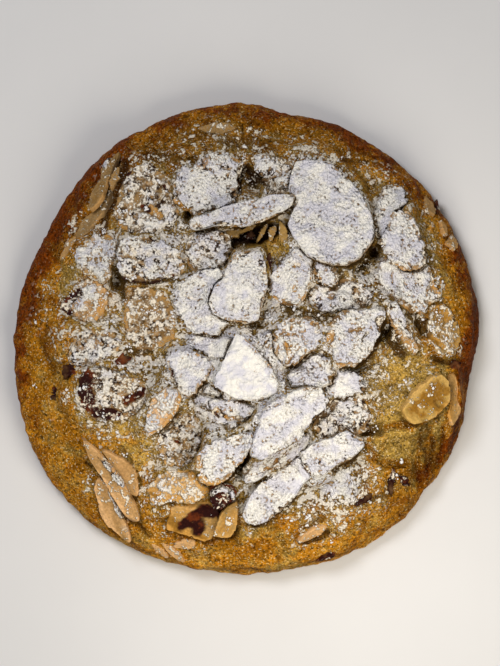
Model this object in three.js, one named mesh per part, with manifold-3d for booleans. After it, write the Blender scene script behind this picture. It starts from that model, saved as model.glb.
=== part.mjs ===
// An almond cookie: a thick round of baked dough with flaked almonds heaped on top.
// Millimetres, +Z up. The base lies on Z = 0 and the middle of the outline is on the Z axis.
// Directions are in degrees, anticlockwise from +X as seen from above.
import * as THREE from "three";
import { mergeVertices } from "three/addons/utils/BufferGeometryUtils.js";
import Module from "manifold-3d";

const degree = Math.PI / 180;
const goldenAngle = 137.5 * degree;
const mergeDistance = 0.001; // corners closer than this are one corner
const drawSeed = 20;

// Dough
const edgeRadius = 46.2; // mean radius at the widest height
const widestHeight = 3.4;
const crownHeight = 13.4; // bare dough at the middle
const shoulderFlatness = 5; // a higher power keeps the top flat further out
const shoulderRoundness = 1.8;
const footShare = 0.94; // radius of the flat base as a share of the edge
const footRoundShare = 0.98; // where the side turns in to the base
const footRoundHeight = 1.1;
const doughSegments = 96;
const doughRings = 22;
const reliefFade = 3; // height over which the relief dies out down the side

// The outline's bulges and flats: direction, half width, push outwards
const outlinePushes = [
  [216, 24, 2.2],
  [250, 20, 0.7],
  [300, 24, 1.2],
  [349, 8, -1.4],
  [79, 6, -0.6],
  [97, 12, 0.8],
  [118, 16, 0.5],
  [154, 14, -0.9],
];

// Swellings of the dough: x, y, radius, rise
const doughLumps = [
  [28.3, -21.4, 6.5, 1.4],
  [36, -11.8, 6, 0.7],
  [19, -30, 8, 0.7],
  [-39, -15, 8, 0.6],
  [-30, -20, 6, 0.7],
  [8, 38, 7, 0.5],
  [25, 33, 8, 0.5],
  [-15, 37, 6, 0.6],
  [2, -38, 9, 0.5],
];

// Creases in the dough: from x, y to x, y, half width, depth
const doughCreases = [
  [33, -17.6, 34, -28.4, 1.3, 1.5],
  [38.4, -17, 37.4, -25.4, 1.2, 1.2],
  [10.6, -40.2, 16.6, -38.9, 1, 0.8],
  [-37, 14, -33.6, 22, 1.2, 0.7],
];

// Unevenness of the whole top: wavelength and height of each set of ripples
const doughRipples = [
  [17, 0.9],
  [8, 0.5],
];
const rippleWaves = 5;
const rippleSpread = 0.17;

// Flaked almonds
const flakeSegments = 18;
const flakeRings = 2;
const flakeCurl = 0.5; // most that the ends rise above or drop below the middle
const flakeTwist = 0.35; // most that opposite corners rise
const flakeGap = 0.3; // clearance to whatever a flake lies on
const bedSlope = 0.3; // width of a bed's sloping edge as a share of the flake's reach
const tiltHeadings = 8; // directions in which a flake's tilt is tried
const firstTiltStep = 0.1;
const lastTiltStep = 0.004;
const leastDrop = 0.0001; // a tilt that lowers a flake by less isn't taken
const mostLean = 0.2; // rise over run that a flake may lean away from the slope of the dough
const slopeSpan = 3; // distance over which that slope is taken
const probeHeadings = 36; // points of a flake's underside that are tried against the ground
const probeRings = 6;

// Every flake, from the lowest to the topmost: zone, x, y, length, width, turn, bluntness (2 is an
// ellipse), taper, depth of its bed in the dough, thickness, and its broken edges as direction, distance.
const flakes = [
  // left shoulder, bare
  ["nw", -30.4, 24.8, 13, 3.4, 48, 2, 0.1, 0.5, 1.2, []],
  ["nw", -28.3, 31.2, 13.4, 3.4, 60, 1.9, 0.1, 0, 1.2, []],
  // bedded in the dough at the left
  ["w", -32.6, 7.4, 10.4, 9.6, 70, 2.2, 0, 0.9, 1.4, []],
  ["w", -19.6, 4, 12.8, 10.6, 85, 3.2, 0, 0.7, 1.2, []],
  ["w", -30.4, -0.8, 13.6, 7.2, 22, 1.9, 0.3, 0.8, 1.1, [[160, 4.6]]],
  ["w", -26.8, -10.8, 14.8, 10.8, -12, 2.1, 0.12, 0.8, 1.8, []],
  // bedded in the dough at the lower left
  ["sw", -13.4, -20, 11.4, 9, 62, 2.2, 0.1, 0.7, 1.2, []],
  ["s", -10.8, -36, 11, 8.2, -14, 3, 0, 0.8, 1.2, [[120, 4]]],
  ["s", -4.4, -35.6, 7, 4.4, 72, 3, 0.1, 0.6, 1.2, []],
  ["sw", -14, -29.4, 12.8, 6.8, 12, 2.3, 0.1, 0.3, 1.3, []],
  ["sw", -27.3, -33.6, 14.2, 4.8, -62, 1.9, -0.15, 0, 1.2, []],
  ["sw", -25.2, -26.6, 10.6, 5.8, -50, 1.8, 0, 0.2, 1.2, [[8, 2.6]]],
  // bedded in the dough at the right
  ["e", 40.4, -11.6, 9.6, 3, 97, 2, 0.1, 0, 1.3, []],
  ["e", 35.5, -11.6, 9.8, 8.4, 80, 2.4, 0, 0.4, 1.8, []],
  ["e", 38.9, 1.6, 11, 7, 95, 2.2, 0.1, 0.8, 1.3, []],
  // lowest of the heap
  ["n", 4.5, 32.4, 10.6, 8.6, -20, 2.3, 0, 0, 1.2, [[200, 3.2]]],
  ["se", 18.5, -15.4, 12.6, 9.4, 30, 2.2, 0, 0, 1.2, []],
  ["se", 19.2, -8.6, 9, 5.6, -20, 2.2, 0, 0, 1.2, []],
  ["c", 12.7, -6.6, 9.6, 7.4, 25, 2.3, 0, 0, 1.2, []],
  ["c", -8.2, -11.2, 8, 5, -35, 2.3, 0, 0, 1.2, []],
  ["c", -7.5, -0.8, 10, 6, -20, 2.3, 0, 0, 1.2, []],
  ["c", 5.6, -2.6, 9, 6, -50, 2.3, 0, 0, 1.2, []],
  ["c", -3.1, -14.4, 10.6, 7, 20, 2.2, 0, 0, 1.2, []],
  ["c", -8, 17.4, 10, 8.2, 60, 2.4, 0, 0, 1.2, []],
  ["c", 17.9, 9, 13.4, 7, -15, 2.2, 0, 0, 1.2, []],
  // second layer
  ["w", -29.8, 15.8, 10.6, 8.6, 65, 2.2, 0, 0, 1.2, []],
  ["nw", -19.3, 28, 15.4, 13, 60, 2.1, 0.08, 0, 1.3, []],
  ["w", -18.7, 16.2, 14.8, 10.2, 5, 2.2, 0, 0, 1.3, []],
  ["c", -9.3, 6.9, 13.6, 10.4, 70, 2.3, 0, 0, 1.2, []],
  ["c", 8.4, 12.3, 12, 8, 62, 2.6, 0, 0, 1.2, [[-15, 3.9], [172, 4.2]]],
  ["c", 15.5, 12.6, 5.8, 4.8, 60, 2.4, 0, 0, 1.1, []],
  ["ne", 28.2, 25, 11.6, 7.2, 75, 1.8, -0.1, 0, 1.2, []],
  ["e", 32.1, 11.4, 13.6, 11.4, 60, 2.3, 0, 0, 1.2, []],
  ["c", -11.4, -6.6, 10, 8.4, 45, 2.5, 0, 0, 1.2, []],
  ["c", 9.3, -0.4, 10.6, 8.6, 35, 2.4, 0, 0, 1.2, [[215, 4]]],
  ["sw", -16.6, -14.3, 11.8, 5.2, 58, 2, 0.1, 0, 1.2, []],
  ["s", -5, -31.4, 5.4, 5, 30, 2.8, 0, 0, 2, []],
  ["sw", -27.4, -28, 21, 3.4, -56, 1.9, 0.05, 0, 1.2, []],
  // third layer
  ["n", -8, 30.6, 13.6, 11.6, 15, 2.7, 0, 0, 1.2, [[0, 6.4]]],
  ["c", -1.3, 10.2, 14.6, 11.6, 70, 2.4, 0, 0, 1.2, [[-3, 5.3], [-78, 6.4]]],
  ["ne", 30.5, 19.4, 12.6, 8.6, 115, 2.1, 0.1, 0, 1.2, []],
  ["e", 20.8, 1, 13.4, 11.4, 50, 2.5, 0, 0, 1.2, [[106, 4.6], [8, 6]]],
  ["e", 31.2, 2.2, 12, 3.2, -60, 2, 0.1, 0, 1.2, []],
  ["s", 6.5, -29.6, 19.6, 6.6, 40, 2.3, 0.1, 0, 1.2, []],
  ["s", 16.7, -22, 16, 6.2, 37, 2.4, 0, 0, 1.2, [[42, 7.2]]],
  ["ne", 16.3, 24.8, 20.8, 17, 100, 3.4, 0, 0, 1.3, [[95, 10.4], [39, 7.4], [232, 9.2], [-48, 9.4]]],
  // topmost
  ["s", 5.7, -22.8, 15.6, 6, 36, 2.1, 0.1, 0, 1.2, []],
  ["sw", -4.4, -23, 14.6, 8.2, 42, 2.2, 0.1, 0, 1.2, []],
  ["c", 0.2, -6.2, 15, 12.8, 105, 2, 0, 0, 1.3, [[156, 4.9], [41, 3.1], [-80, 5.8]]],
  ["s", 8, -16.8, 20.4, 9.4, 40, 2.2, 0.08, 0, 1.3, []],
  ["n", -1, 24.9, 20.6, 5, 13, 2.1, 0.1, 0, 1.2, []],
].map(([zone, x, y, length, width, turn, bluntness, taper, bed, thickness, breaks]) => ({
  zone,
  x,
  y,
  length,
  width,
  turn: turn * degree,
  bluntness,
  taper,
  bed,
  thickness,
  breaks,
}));

// Slivers and scraps baked into the dough: x, y, length, width, turn
const chips = [
  // almond slivers
  [-5.1, 41.6, 7.2, 2.8, 0],
  [13.1, -38.4, 6.4, 2.4, 15],
  [-17.3, -41.8, 4.6, 2.2, -40],
  [-14.9, -42, 6, 2.2, -35],
  [-12.3, -41, 6, 3, 22],
  [36.7, 25.8, 4.8, 2.6, 100],
  [38.9, 22.2, 3.6, 2.4, 60],
  [41, 18.8, 3.6, 2.8, 130],
  [-34.9, 20.2, 4.8, 1.8, 48],
  [-18.4, -5.9, 5.4, 4.2, 20],
  [7.2, 20.8, 5.6, 2, -75],
  // scraps of almond skin
  [41.3, -5.2, 3.4, 3, 30],
  [-35.5, -6.2, 3.2, 2.6, 60],
  [-37.6, -11.4, 3.6, 2.6, 80],
  [-25.6, -4, 4.4, 2.4, 15],
  [16, -42.8, 3.8, 2, 20],
  [28.4, -27.6, 5, 1.8, 75],
  [31.4, -28.4, 4, 2, -50],
  [24, -32, 5, 2, 25],
];
const chipForm = { thickness: 1.5, bluntness: 2.6, taper: 0, breaks: [] };
const chipSpan = 1; // distance over which the slope under a chip is taken
const chipSegments = 7;
const chipProud = 0.35; // share of a chip's thickness that stands clear of the dough

// Height map that the flakes are laid on
const groundCell = 0.4;
const groundOverhang = 0.3; // each face covers this much more than itself
const groundHalfWidth = 52;

const colours = { dough: 0xb9853f, flake: 0xe6d6bd };
const flakeRoughness = 0.75;
const doughRoughness = 0.7;

// Seeded draws between -1 and 1.
function seededDraws(seed) {
  let state = seed;
  return () => {
    state = (Math.imul(state, 1664525) + 1013904223) >>> 0;
    return state / 2 ** 31 - 1;
  };
}

// Smooth step from 0 at the low end to 1 at the high end.
function ease(low, high, value) {
  return THREE.MathUtils.smoothstep(value, low, high);
}

// Rise and fall between -1 and 1: plane waves whose headings are a golden angle apart.
function ripple(x, y, wavelength) {
  let sum = 0;
  for (let k = 0; k < rippleWaves; k++) {
    const pitch = (2 * Math.PI * (1 + rippleSpread * k)) / wavelength;
    const along = x * Math.cos(k * goldenAngle) + y * Math.sin(k * goldenAngle);
    sum += Math.sin(pitch * along + k * k);
  }
  return sum / rippleWaves;
}

// Radius of the cookie's outline in one direction.
function outlineRadius(heading) {
  let radius = edgeRadius;
  for (const [centre, halfWidth, push] of outlinePushes) {
    const away = Math.atan2(Math.sin(heading - centre * degree), Math.cos(heading - centre * degree));
    radius += push * Math.exp(-((away / (halfWidth * degree)) ** 2));
  }
  return radius;
}

// Distance from a flake's middle to its rim: a blunted, tapered ellipse cut by its broken edges.
function flakeReach(flake, heading) {
  const local = heading - flake.turn;
  const halfWidth = (flake.width / 2) * (1 - flake.taper * Math.cos(local));
  const alongShare = Math.abs(Math.cos(local) / (flake.length / 2)) ** flake.bluntness;
  const acrossShare = Math.abs(Math.sin(local) / halfWidth) ** flake.bluntness;
  let reach = (alongShare + acrossShare) ** (-1 / flake.bluntness);
  for (const [direction, distance] of flake.breaks) {
    const facing = Math.cos(heading - direction * degree);
    if (facing > 0) reach = Math.min(reach, distance / facing);
  }
  return reach;
}

// Headings round a flake, closer together towards its two ends.
function flakeHeadings(flake, count) {
  return Array.from({ length: count }, (_, k) => {
    const t = (2 * Math.PI * k) / count;
    return flake.turn + Math.atan2(flake.width * Math.sin(t), flake.length * Math.cos(t));
  });
}

// Distance from a point to a stretch of line.
function distanceToLine(x, y, x1, y1, x2, y2) {
  const along = ((x - x1) * (x2 - x1) + (y - y1) * (y2 - y1)) / ((x2 - x1) ** 2 + (y2 - y1) ** 2);
  const share = THREE.MathUtils.clamp(along, 0, 1);
  return Math.hypot(x - x1 - share * (x2 - x1), y - y1 - share * (y2 - y1));
}

// How far the dough stands above or below its plain profile.
function doughRelief(x, y) {
  let rise = 0;
  for (const [wavelength, height] of doughRipples) rise += height * ripple(x, y, wavelength);
  for (const [cx, cy, radius, lift] of doughLumps) {
    rise += lift * Math.exp(-((x - cx) ** 2 + (y - cy) ** 2) / radius ** 2);
  }
  for (const [x1, y1, x2, y2, halfWidth, depth] of doughCreases) {
    rise -= depth * Math.exp(-((distanceToLine(x, y, x1, y1, x2, y2) / halfWidth) ** 2));
  }
  for (const flake of flakes) {
    const reach = flakeReach(flake, Math.atan2(y - flake.y, x - flake.x));
    const share = Math.hypot(x - flake.x, y - flake.y) / reach;
    rise -= flake.bed * (1 - ease(1, 1 + bedSlope, share));
  }
  return rise;
}

// Plain height of the upper side at a share of the outline's radius: a flat-topped dome.
function domeHeight(share) {
  const fall = Math.max(0, 1 - share ** shoulderFlatness) ** (1 / shoulderRoundness);
  return widestHeight + (crownHeight - widestHeight) * fall;
}

// Height of the dough's upper side at a point.
function doughHeight(x, y) {
  const share = Math.hypot(x, y) / outlineRadius(Math.atan2(y, x));
  const plain = domeHeight(share);
  return plain + doughRelief(x, y) * ease(widestHeight, widestHeight + reliefFade, plain);
}

// The dough: a lathe of the plain profile, pushed out to the outline and up to the relief.
function doughGeometry() {
  const profile = [new THREE.Vector2(0, 0), new THREE.Vector2(footShare, 0)];
  profile.push(new THREE.Vector2(footRoundShare, footRoundHeight));
  for (let ring = doughRings; ring > 0; ring--) {
    const share = Math.sin(((Math.PI / 2) * ring) / doughRings);
    profile.push(new THREE.Vector2(share, domeHeight(share)));
  }
  profile.push(new THREE.Vector2(0, crownHeight));
  const geometry = new THREE.LatheGeometry(profile, doughSegments).rotateX(Math.PI / 2);
  const position = geometry.getAttribute("position");
  for (let i = 0; i < position.count; i++) {
    const radius = outlineRadius(Math.atan2(position.getY(i), position.getX(i)));
    const x = position.getX(i) * radius;
    const y = position.getY(i) * radius;
    const z = position.getZ(i);
    position.setXYZ(i, x, y, z + doughRelief(x, y) * ease(widestHeight, widestHeight + reliefFade, z));
  }
  return geometry;
}

// A leaf-thin solid: two faces split alike, joined along the rim. lift bends both faces together.
function leafGeometry(flake, lift, segments, rings) {
  const points = [];
  const triangles = [];
  const perFace = 1 + rings * segments;
  const headings = flakeHeadings(flake, segments);
  for (const side of [flake.thickness / 2, -flake.thickness / 2]) {
    points.push(0, 0, lift(0, 0) + side);
    for (let ring = 1; ring <= rings; ring++) {
      for (const heading of headings) {
        const distance = (flakeReach(flake, heading) * ring) / rings;
        const x = distance * Math.cos(heading);
        const y = distance * Math.sin(heading);
        points.push(x, y, lift(x, y) + side);
      }
    }
  }
  const upper = (ring, k) => 1 + (ring - 1) * segments + (k % segments);
  const bothFaces = (a, b, c) => triangles.push(a, b, c, a + perFace, c + perFace, b + perFace);
  for (let k = 0; k < segments; k++) {
    bothFaces(0, upper(1, k), upper(1, k + 1));
    for (let ring = 1; ring < rings; ring++) {
      bothFaces(upper(ring, k), upper(ring + 1, k), upper(ring + 1, k + 1));
      bothFaces(upper(ring, k), upper(ring + 1, k + 1), upper(ring, k + 1));
    }
    const here = upper(rings, k);
    const next = upper(rings, k + 1);
    triangles.push(here, here + perFace, next + perFace, here, next + perFace, next);
  }
  const geometry = new THREE.BufferGeometry();
  geometry.setAttribute("position", new THREE.Float32BufferAttribute(points, 3));
  geometry.setIndex(triangles);
  return geometry;
}

// Turn that lays a flat piece on a slope of the given rises along X and Y.
function slopeTurn(riseX, riseY) {
  const upright = new THREE.Vector3(0, 0, 1);
  return new THREE.Quaternion().setFromUnitVectors(upright, new THREE.Vector3(-riseX, -riseY, 1).normalize());
}

// The dough and its chips joined into one solid.
async function bakedDough() {
  const wasm = await Module();
  wasm.setup();
  const solid = (geometry) => {
    geometry.deleteAttribute("normal");
    geometry.deleteAttribute("uv");
    const merged = mergeVertices(geometry, mergeDistance);
    const vertProperties = merged.getAttribute("position").array;
    return new wasm.Manifold(new wasm.Mesh({ numProp: 3, vertProperties, triVerts: merged.index.array }));
  };
  let baked = solid(doughGeometry());
  for (const [x, y, length, width, turn] of chips) {
    const outline = { length, width, turn: turn * degree, ...chipForm };
    const chip = leafGeometry(outline, () => 0, chipSegments, 1);
    chip.applyQuaternion(slopeTurn(...doughSlope(x, y, chipSpan)));
    chip.translate(x, y, doughHeight(x, y) + chipForm.thickness * (chipProud - 0.5));
    baked = baked.add(solid(chip));
  }
  const mesh = baked.getMesh();
  const geometry = new THREE.BufferGeometry();
  geometry.setAttribute("position", new THREE.BufferAttribute(mesh.vertProperties, 3));
  geometry.setIndex(new THREE.BufferAttribute(mesh.triVerts, 1));
  return geometry;
}

// Highest surface so far over a square grid, filled in from the upward faces of each mesh.
class Ground {
  constructor() {
    this.count = Math.round((2 * groundHalfWidth) / groundCell) + 1;
    this.heights = new Float32Array(this.count ** 2);
  }

  cover(mesh) {
    mesh.updateMatrixWorld(true);
    const flat = mesh.geometry.toNonIndexed().applyMatrix4(mesh.matrixWorld).getAttribute("position");
    const corners = [new THREE.Vector3(), new THREE.Vector3(), new THREE.Vector3()];
    for (let i = 0; i < flat.count; i += 3) {
      corners.forEach((corner, k) => corner.fromBufferAttribute(flat, i + k));
      this.coverTriangle(...corners);
    }
  }

  coverTriangle(a, b, c) {
    const area = (b.x - a.x) * (c.y - a.y) - (c.x - a.x) * (b.y - a.y);
    if (area <= 0) return;
    const index = (value) => (value + groundHalfWidth) / groundCell;
    const first = (...values) => Math.ceil(index(Math.min(...values) - groundOverhang));
    const last = (...values) => Math.floor(index(Math.max(...values) + groundOverhang));
    for (let i = first(a.x, b.x, c.x); i <= last(a.x, b.x, c.x); i++) {
      for (let j = first(a.y, b.y, c.y); j <= last(a.y, b.y, c.y); j++) {
        const x = i * groundCell - groundHalfWidth;
        const y = j * groundCell - groundHalfWidth;
        const shareB = ((x - a.x) * (c.y - a.y) - (c.x - a.x) * (y - a.y)) / area;
        const shareC = ((b.x - a.x) * (y - a.y) - (x - a.x) * (b.y - a.y)) / area;
        const outside = Math.max(
          (-shareB * area) / Math.hypot(c.x - a.x, c.y - a.y),
          (-shareC * area) / Math.hypot(b.x - a.x, b.y - a.y),
          ((shareB + shareC - 1) * area) / Math.hypot(c.x - b.x, c.y - b.y),
        );
        if (outside > groundOverhang) continue;
        const height = a.z + shareB * (b.z - a.z) + shareC * (c.z - a.z);
        const highest = Math.min(height, Math.max(a.z, b.z, c.z));
        this.heights[i * this.count + j] = Math.max(this.heights[i * this.count + j], highest);
      }
    }
  }

  at(x, y) {
    const i = Math.floor((x + groundHalfWidth) / groundCell);
    const j = Math.floor((y + groundHalfWidth) / groundCell);
    const first = i * this.count + j;
    const second = first + this.count;
    const { heights } = this;
    return Math.max(heights[first], heights[first + 1], heights[second], heights[second + 1]);
  }
}

// Rise of the dough along X and Y at a point.
function doughSlope(x, y, span) {
  return [
    (doughHeight(x + span, y) - doughHeight(x - span, y)) / (2 * span),
    (doughHeight(x, y + span) - doughHeight(x, y - span)) / (2 * span),
  ];
}

// Lay a flake at rest: of its tilts near the dough's slope, the one that brings its middle lowest.
function settle(mesh, flake, lift, ground) {
  const probes = [new THREE.Vector3(0, 0, lift(0, 0) - flake.thickness / 2)];
  for (let ring = 1; ring <= probeRings; ring++) {
    for (const heading of flakeHeadings(flake, probeHeadings)) {
      const distance = (flakeReach(flake, heading) * ring) / probeRings;
      const x = distance * Math.cos(heading);
      const y = distance * Math.sin(heading);
      probes.push(new THREE.Vector3(x, y, lift(x, y) - flake.thickness / 2));
    }
  }
  const moved = new THREE.Vector3();
  const restAt = (riseX, riseY) => {
    const quaternion = slopeTurn(riseX, riseY);
    let height = -Infinity;
    for (const probe of probes) {
      moved.copy(probe).applyQuaternion(quaternion);
      height = Math.max(height, ground.at(flake.x + moved.x, flake.y + moved.y) - moved.z);
    }
    return { riseX, riseY, height, quaternion };
  };
  const [slopeX, slopeY] = doughSlope(flake.x, flake.y, slopeSpan);
  let best = restAt(slopeX, slopeY);
  for (let step = firstTiltStep; step > lastTiltStep; step /= 2) {
    let lowered = true;
    while (lowered) {
      lowered = false;
      for (let k = 0; k < tiltHeadings; k++) {
        const heading = (2 * Math.PI * k) / tiltHeadings;
        const riseX = best.riseX + step * Math.cos(heading);
        const riseY = best.riseY + step * Math.sin(heading);
        if (Math.hypot(riseX - slopeX, riseY - slopeY) > mostLean) continue;
        const tried = restAt(riseX, riseY);
        if (tried.height > best.height - leastDrop) continue;
        best = tried;
        lowered = true;
      }
    }
  }
  mesh.quaternion.copy(best.quaternion);
  mesh.position.set(flake.x, flake.y, best.height + flakeGap);
}

// One flake of almond, gently curled and twisted, lying on what is below it.
function flakeMesh(flake, name, ground, draw) {
  const curl = flakeCurl * draw();
  const twist = flakeTwist * draw();
  const lift = (x, y) => {
    const along = (x * Math.cos(flake.turn) + y * Math.sin(flake.turn)) / (flake.length / 2);
    const across = (y * Math.cos(flake.turn) - x * Math.sin(flake.turn)) / (flake.width / 2);
    return curl * along ** 2 + twist * along * across;
  };
  const mesh = new THREE.Mesh(
    leafGeometry(flake, lift, flakeSegments, flakeRings),
    new THREE.MeshStandardMaterial({ color: colours.flake, roughness: flakeRoughness, metalness: 0 }),
  );
  mesh.name = name;
  settle(mesh, flake, lift, ground);
  ground.cover(mesh);
  return mesh;
}

const heap = new THREE.Group();
const dough = new THREE.Mesh(
  await bakedDough(),
  new THREE.MeshStandardMaterial({ color: colours.dough, roughness: doughRoughness, metalness: 0 }),
);
dough.name = "dough";
heap.add(dough);

const ground = new Ground();
ground.cover(dough);
const draw = seededDraws(drawSeed);
const zoneCounts = {};
for (const flake of flakes) {
  zoneCounts[flake.zone] = (zoneCounts[flake.zone] ?? 0) + 1;
  heap.add(flakeMesh(flake, `flake_${flake.zone}_${zoneCounts[flake.zone]}`, ground, draw));
}

// The whole is moved so that its box is centred on the Z axis with its base on Z = 0.
const box = new THREE.Box3().setFromObject(heap, true);
const middle = box.getCenter(new THREE.Vector3());
heap.position.set(-middle.x, -middle.y, -box.min.z);

const cookie = new THREE.Group();
cookie.add(heap);

export default cookie;
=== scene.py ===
import bpy
import math
import numpy as np
from functools import partial
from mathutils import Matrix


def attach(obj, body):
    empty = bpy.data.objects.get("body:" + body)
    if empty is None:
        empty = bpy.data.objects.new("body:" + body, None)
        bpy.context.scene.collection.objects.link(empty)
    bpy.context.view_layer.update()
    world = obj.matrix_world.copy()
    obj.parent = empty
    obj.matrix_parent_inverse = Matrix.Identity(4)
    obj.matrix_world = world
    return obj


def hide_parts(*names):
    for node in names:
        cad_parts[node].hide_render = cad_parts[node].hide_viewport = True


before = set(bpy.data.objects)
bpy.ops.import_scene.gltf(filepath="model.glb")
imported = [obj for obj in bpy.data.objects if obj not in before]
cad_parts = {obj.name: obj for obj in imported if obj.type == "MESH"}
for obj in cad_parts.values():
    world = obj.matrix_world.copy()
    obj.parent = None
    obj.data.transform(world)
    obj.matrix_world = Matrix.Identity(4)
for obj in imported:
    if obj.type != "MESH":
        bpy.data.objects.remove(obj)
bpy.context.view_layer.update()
print("frame:", len(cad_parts), "solids")

mm = 0.001  # shapes are worked out in millimetres and go into meshes in metres


# Noise, bells and distances

latticeMix = {  # odd numbers that a lattice point's own are multiplied by
    "axes": (374761393, 668265263, 1442695041), "seed": 974634821, "last": 1274126177, "bits": 0xFFFFFFFF,
}


def ease(low, high, value):
    # 0 at low, 1 at high, 3t^2 - 2t^3 between
    t = np.clip((value - low) / (high - low), 0, 1)
    return t * t * (3 - 2 * t)


def bell(distance, width):
    # exp(-(distance / width)^2)
    return np.exp(-((distance / width) ** 2))


def around(radius, heading):
    # the point at a radius and a heading
    return radius * np.cos(heading), radius * np.sin(heading)


def turnedBack(x, y, turn):
    # the point's coordinates along and across a direction
    c, s = math.cos(turn), math.sin(turn)
    return x * c + y * s, y * c - x * s


def latticeDraw(i, j, k, seed):
    # a draw from 0 to 1 for each whole-numbered lattice point: its numbers' bits, mixed
    m = latticeMix
    h = (i * m["axes"][0] + j * m["axes"][1] + k * m["axes"][2] + seed * m["seed"]) & m["bits"]
    h = ((h ^ (h >> 13)) * m["last"]) & m["bits"]
    return (h ^ (h >> 16)) / 2**32


def softNoise(x, y, z, size, seed):
    # -1 to 1: draws at lattice points a size apart, blended by ease along the three axes
    x, y, z = np.broadcast_arrays(x / size, y / size, z / size)
    i, j, k = (np.floor(c).astype(np.int64) for c in (x, y, z))
    u, v, w = ease(0, 1, x - i), ease(0, 1, y - j), ease(0, 1, z - k)
    total = np.zeros(x.shape)
    for di, dj, dk in np.ndindex(2, 2, 2):
        share = (u if di else 1 - u) * (v if dj else 1 - v) * (w if dk else 1 - w)
        total += share * latticeDraw(i + di, j + dj, k + dk, seed)
    return 2 * total - 1


def roughNoise(x, y, z, size, seed, layers=3):
    # soft noise in layers, each half the size and 0.55 times the height of the one before
    heights = 0.55 ** np.arange(layers)
    parts = [h * softNoise(x, y, z, size / 2**n, seed + n) for n, h in enumerate(heights)]
    return sum(parts) / math.sqrt((heights**2).sum())


def cellLumps(x, y, size, seed):
    # rounded lumps from 0 to 1: one minus the distance to the nearest of the points drawn one to a cell
    x, y = np.broadcast_arrays(x / size, y / size)
    i, j = np.floor(x).astype(np.int64), np.floor(y).astype(np.int64)
    nearest = np.full(x.shape, 2.0)
    for di, dj in np.ndindex(3, 3):
        ci, cj = i + di - 1, j + dj - 1
        px = ci + latticeDraw(ci, cj, 0, seed)
        py = cj + latticeDraw(ci, cj, 1, seed)
        nearest = np.minimum(nearest, np.hypot(x - px, y - py))
    return np.clip(1 - nearest, 0, 1)


def bellSum(x, y, places):
    # a bell at each place, given as x, y, radius and height, added up
    return sum(height * bell(np.hypot(x - cx, y - cy), radius) for cx, cy, radius, height in places)


def lineDistance(x, y, line):
    # least distance in plan to a line of straight stretches
    least = np.full(np.shape(x), np.inf)
    for (x1, y1), (x2, y2) in zip(line, line[1:]):
        along = ((x - x1) * (x2 - x1) + (y - y1) * (y2 - y1)) / ((x2 - x1) ** 2 + (y2 - y1) ** 2)
        along = np.clip(along, 0, 1)
        least = np.minimum(least, np.hypot(x - x1 - along * (x2 - x1), y - y1 - along * (y2 - y1)))
    return least


def strokeShare(x, y, strokes, waver):
    # 1 along the lines, 0 from their half widths on, with a wavering edge
    share = np.zeros(np.shape(x))
    for halfWidth, line in strokes:
        away = lineDistance(x, y, line) / halfWidth + 0.4 * waver
        share = np.maximum(share, 1 - ease(0.65, 1.15, away))
    return share


def grooveShare(x, y, lines, width):
    # the greatest of the bells across the lines
    share = np.zeros(np.shape(x))
    for line in lines:
        share = np.maximum(share, bell(lineDistance(x, y, line), width))
    return share


# Meshes from arrays

def roundGrid(cells):
    # a square grid carried onto a disc: the larger coordinate is the share of the radius,
    # the ratio of the two is the heading
    line = np.linspace(-1, 1, cells + 1)
    a, b = (c.ravel() for c in np.meshgrid(line, line, indexing="ij"))
    wide = np.abs(a) >= np.abs(b)
    share = np.where(wide, np.abs(a), np.abs(b))
    safe = np.where(share > 0, np.where(wide, a, b), 1)
    heading = np.where(wide, b / safe, 2 - a / safe) * math.pi / 4 + np.where(safe < 0, math.pi, 0)
    index = np.arange((cells + 1) ** 2).reshape(cells + 1, cells + 1)
    quads = np.stack([index[:-1, :-1], index[1:, :-1], index[1:, 1:], index[:-1, 1:]], -1).reshape(-1, 4)
    border = np.concatenate([index[:-1, 0], index[-1, :-1], index[:0:-1, -1], index[0, :0:-1]])
    return share, heading, quads, border


def bandQuads(loops):
    # quads between each closed loop of vertex numbers and the next one
    loops = np.asarray(loops)
    ahead = np.roll(loops, -1, axis=1)
    return np.stack([loops[:-1], loops[1:], ahead[1:], ahead[:-1]], -1).reshape(-1, 4)


def leafFaces(quads, border, perFace, rimRings):
    # the top's quads, the underside's turned over, and bands from the top's border round the rim
    rim = 2 * perFace + np.arange(rimRings * len(border)).reshape(rimRings, -1)
    rim = np.vstack([border, rim, border + perFace])
    return np.vstack([quads, quads[:, ::-1] + perFace, bandQuads(rim)])


def pointNormals(points, quads):
    # each corner's mean of the cross products of its faces' diagonals
    across = np.cross(points[quads[:, 2]] - points[quads[:, 0]], points[quads[:, 3]] - points[quads[:, 1]])
    total = np.zeros_like(points)
    for corner in range(4):
        np.add.at(total, quads[:, corner], across)
    return total / np.linalg.norm(total, axis=1, keepdims=True)


def planeAxes(normal):
    # three rows: +X laid into the plane, the direction square to it, and the normal
    normal = normal / np.linalg.norm(normal)
    right = np.array([1.0, 0, 0]) - normal[0] * normal
    right /= np.linalg.norm(right)
    return np.array([right, np.cross(normal, right), normal])


def makePiece(name, points, faces, material, attributes=None):
    # one smooth mesh object at the origin, from points in millimetres
    mesh = bpy.data.meshes.new(name)
    count, sides = faces.shape
    mesh.vertices.add(len(points))
    mesh.vertices.foreach_set("co", (points * mm).astype(np.float32).ravel())
    mesh.loops.add(count * sides)
    mesh.loops.foreach_set("vertex_index", faces.astype(np.int32).ravel())
    mesh.polygons.add(count)
    mesh.polygons.foreach_set("loop_start", np.arange(0, count * sides, sides, dtype=np.int32))
    mesh.update(calc_edges=True)
    mesh.shade_smooth()
    for key, values in (attributes or {}).items():
        layer = mesh.attributes.new(key, "FLOAT", "POINT")
        layer.data.foreach_set("value", values.astype(np.float32))
    mesh.materials.append(material)
    piece = bpy.data.objects.new(name, mesh)
    bpy.context.scene.collection.objects.link(piece)
    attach(piece, "root")
    return piece


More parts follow.
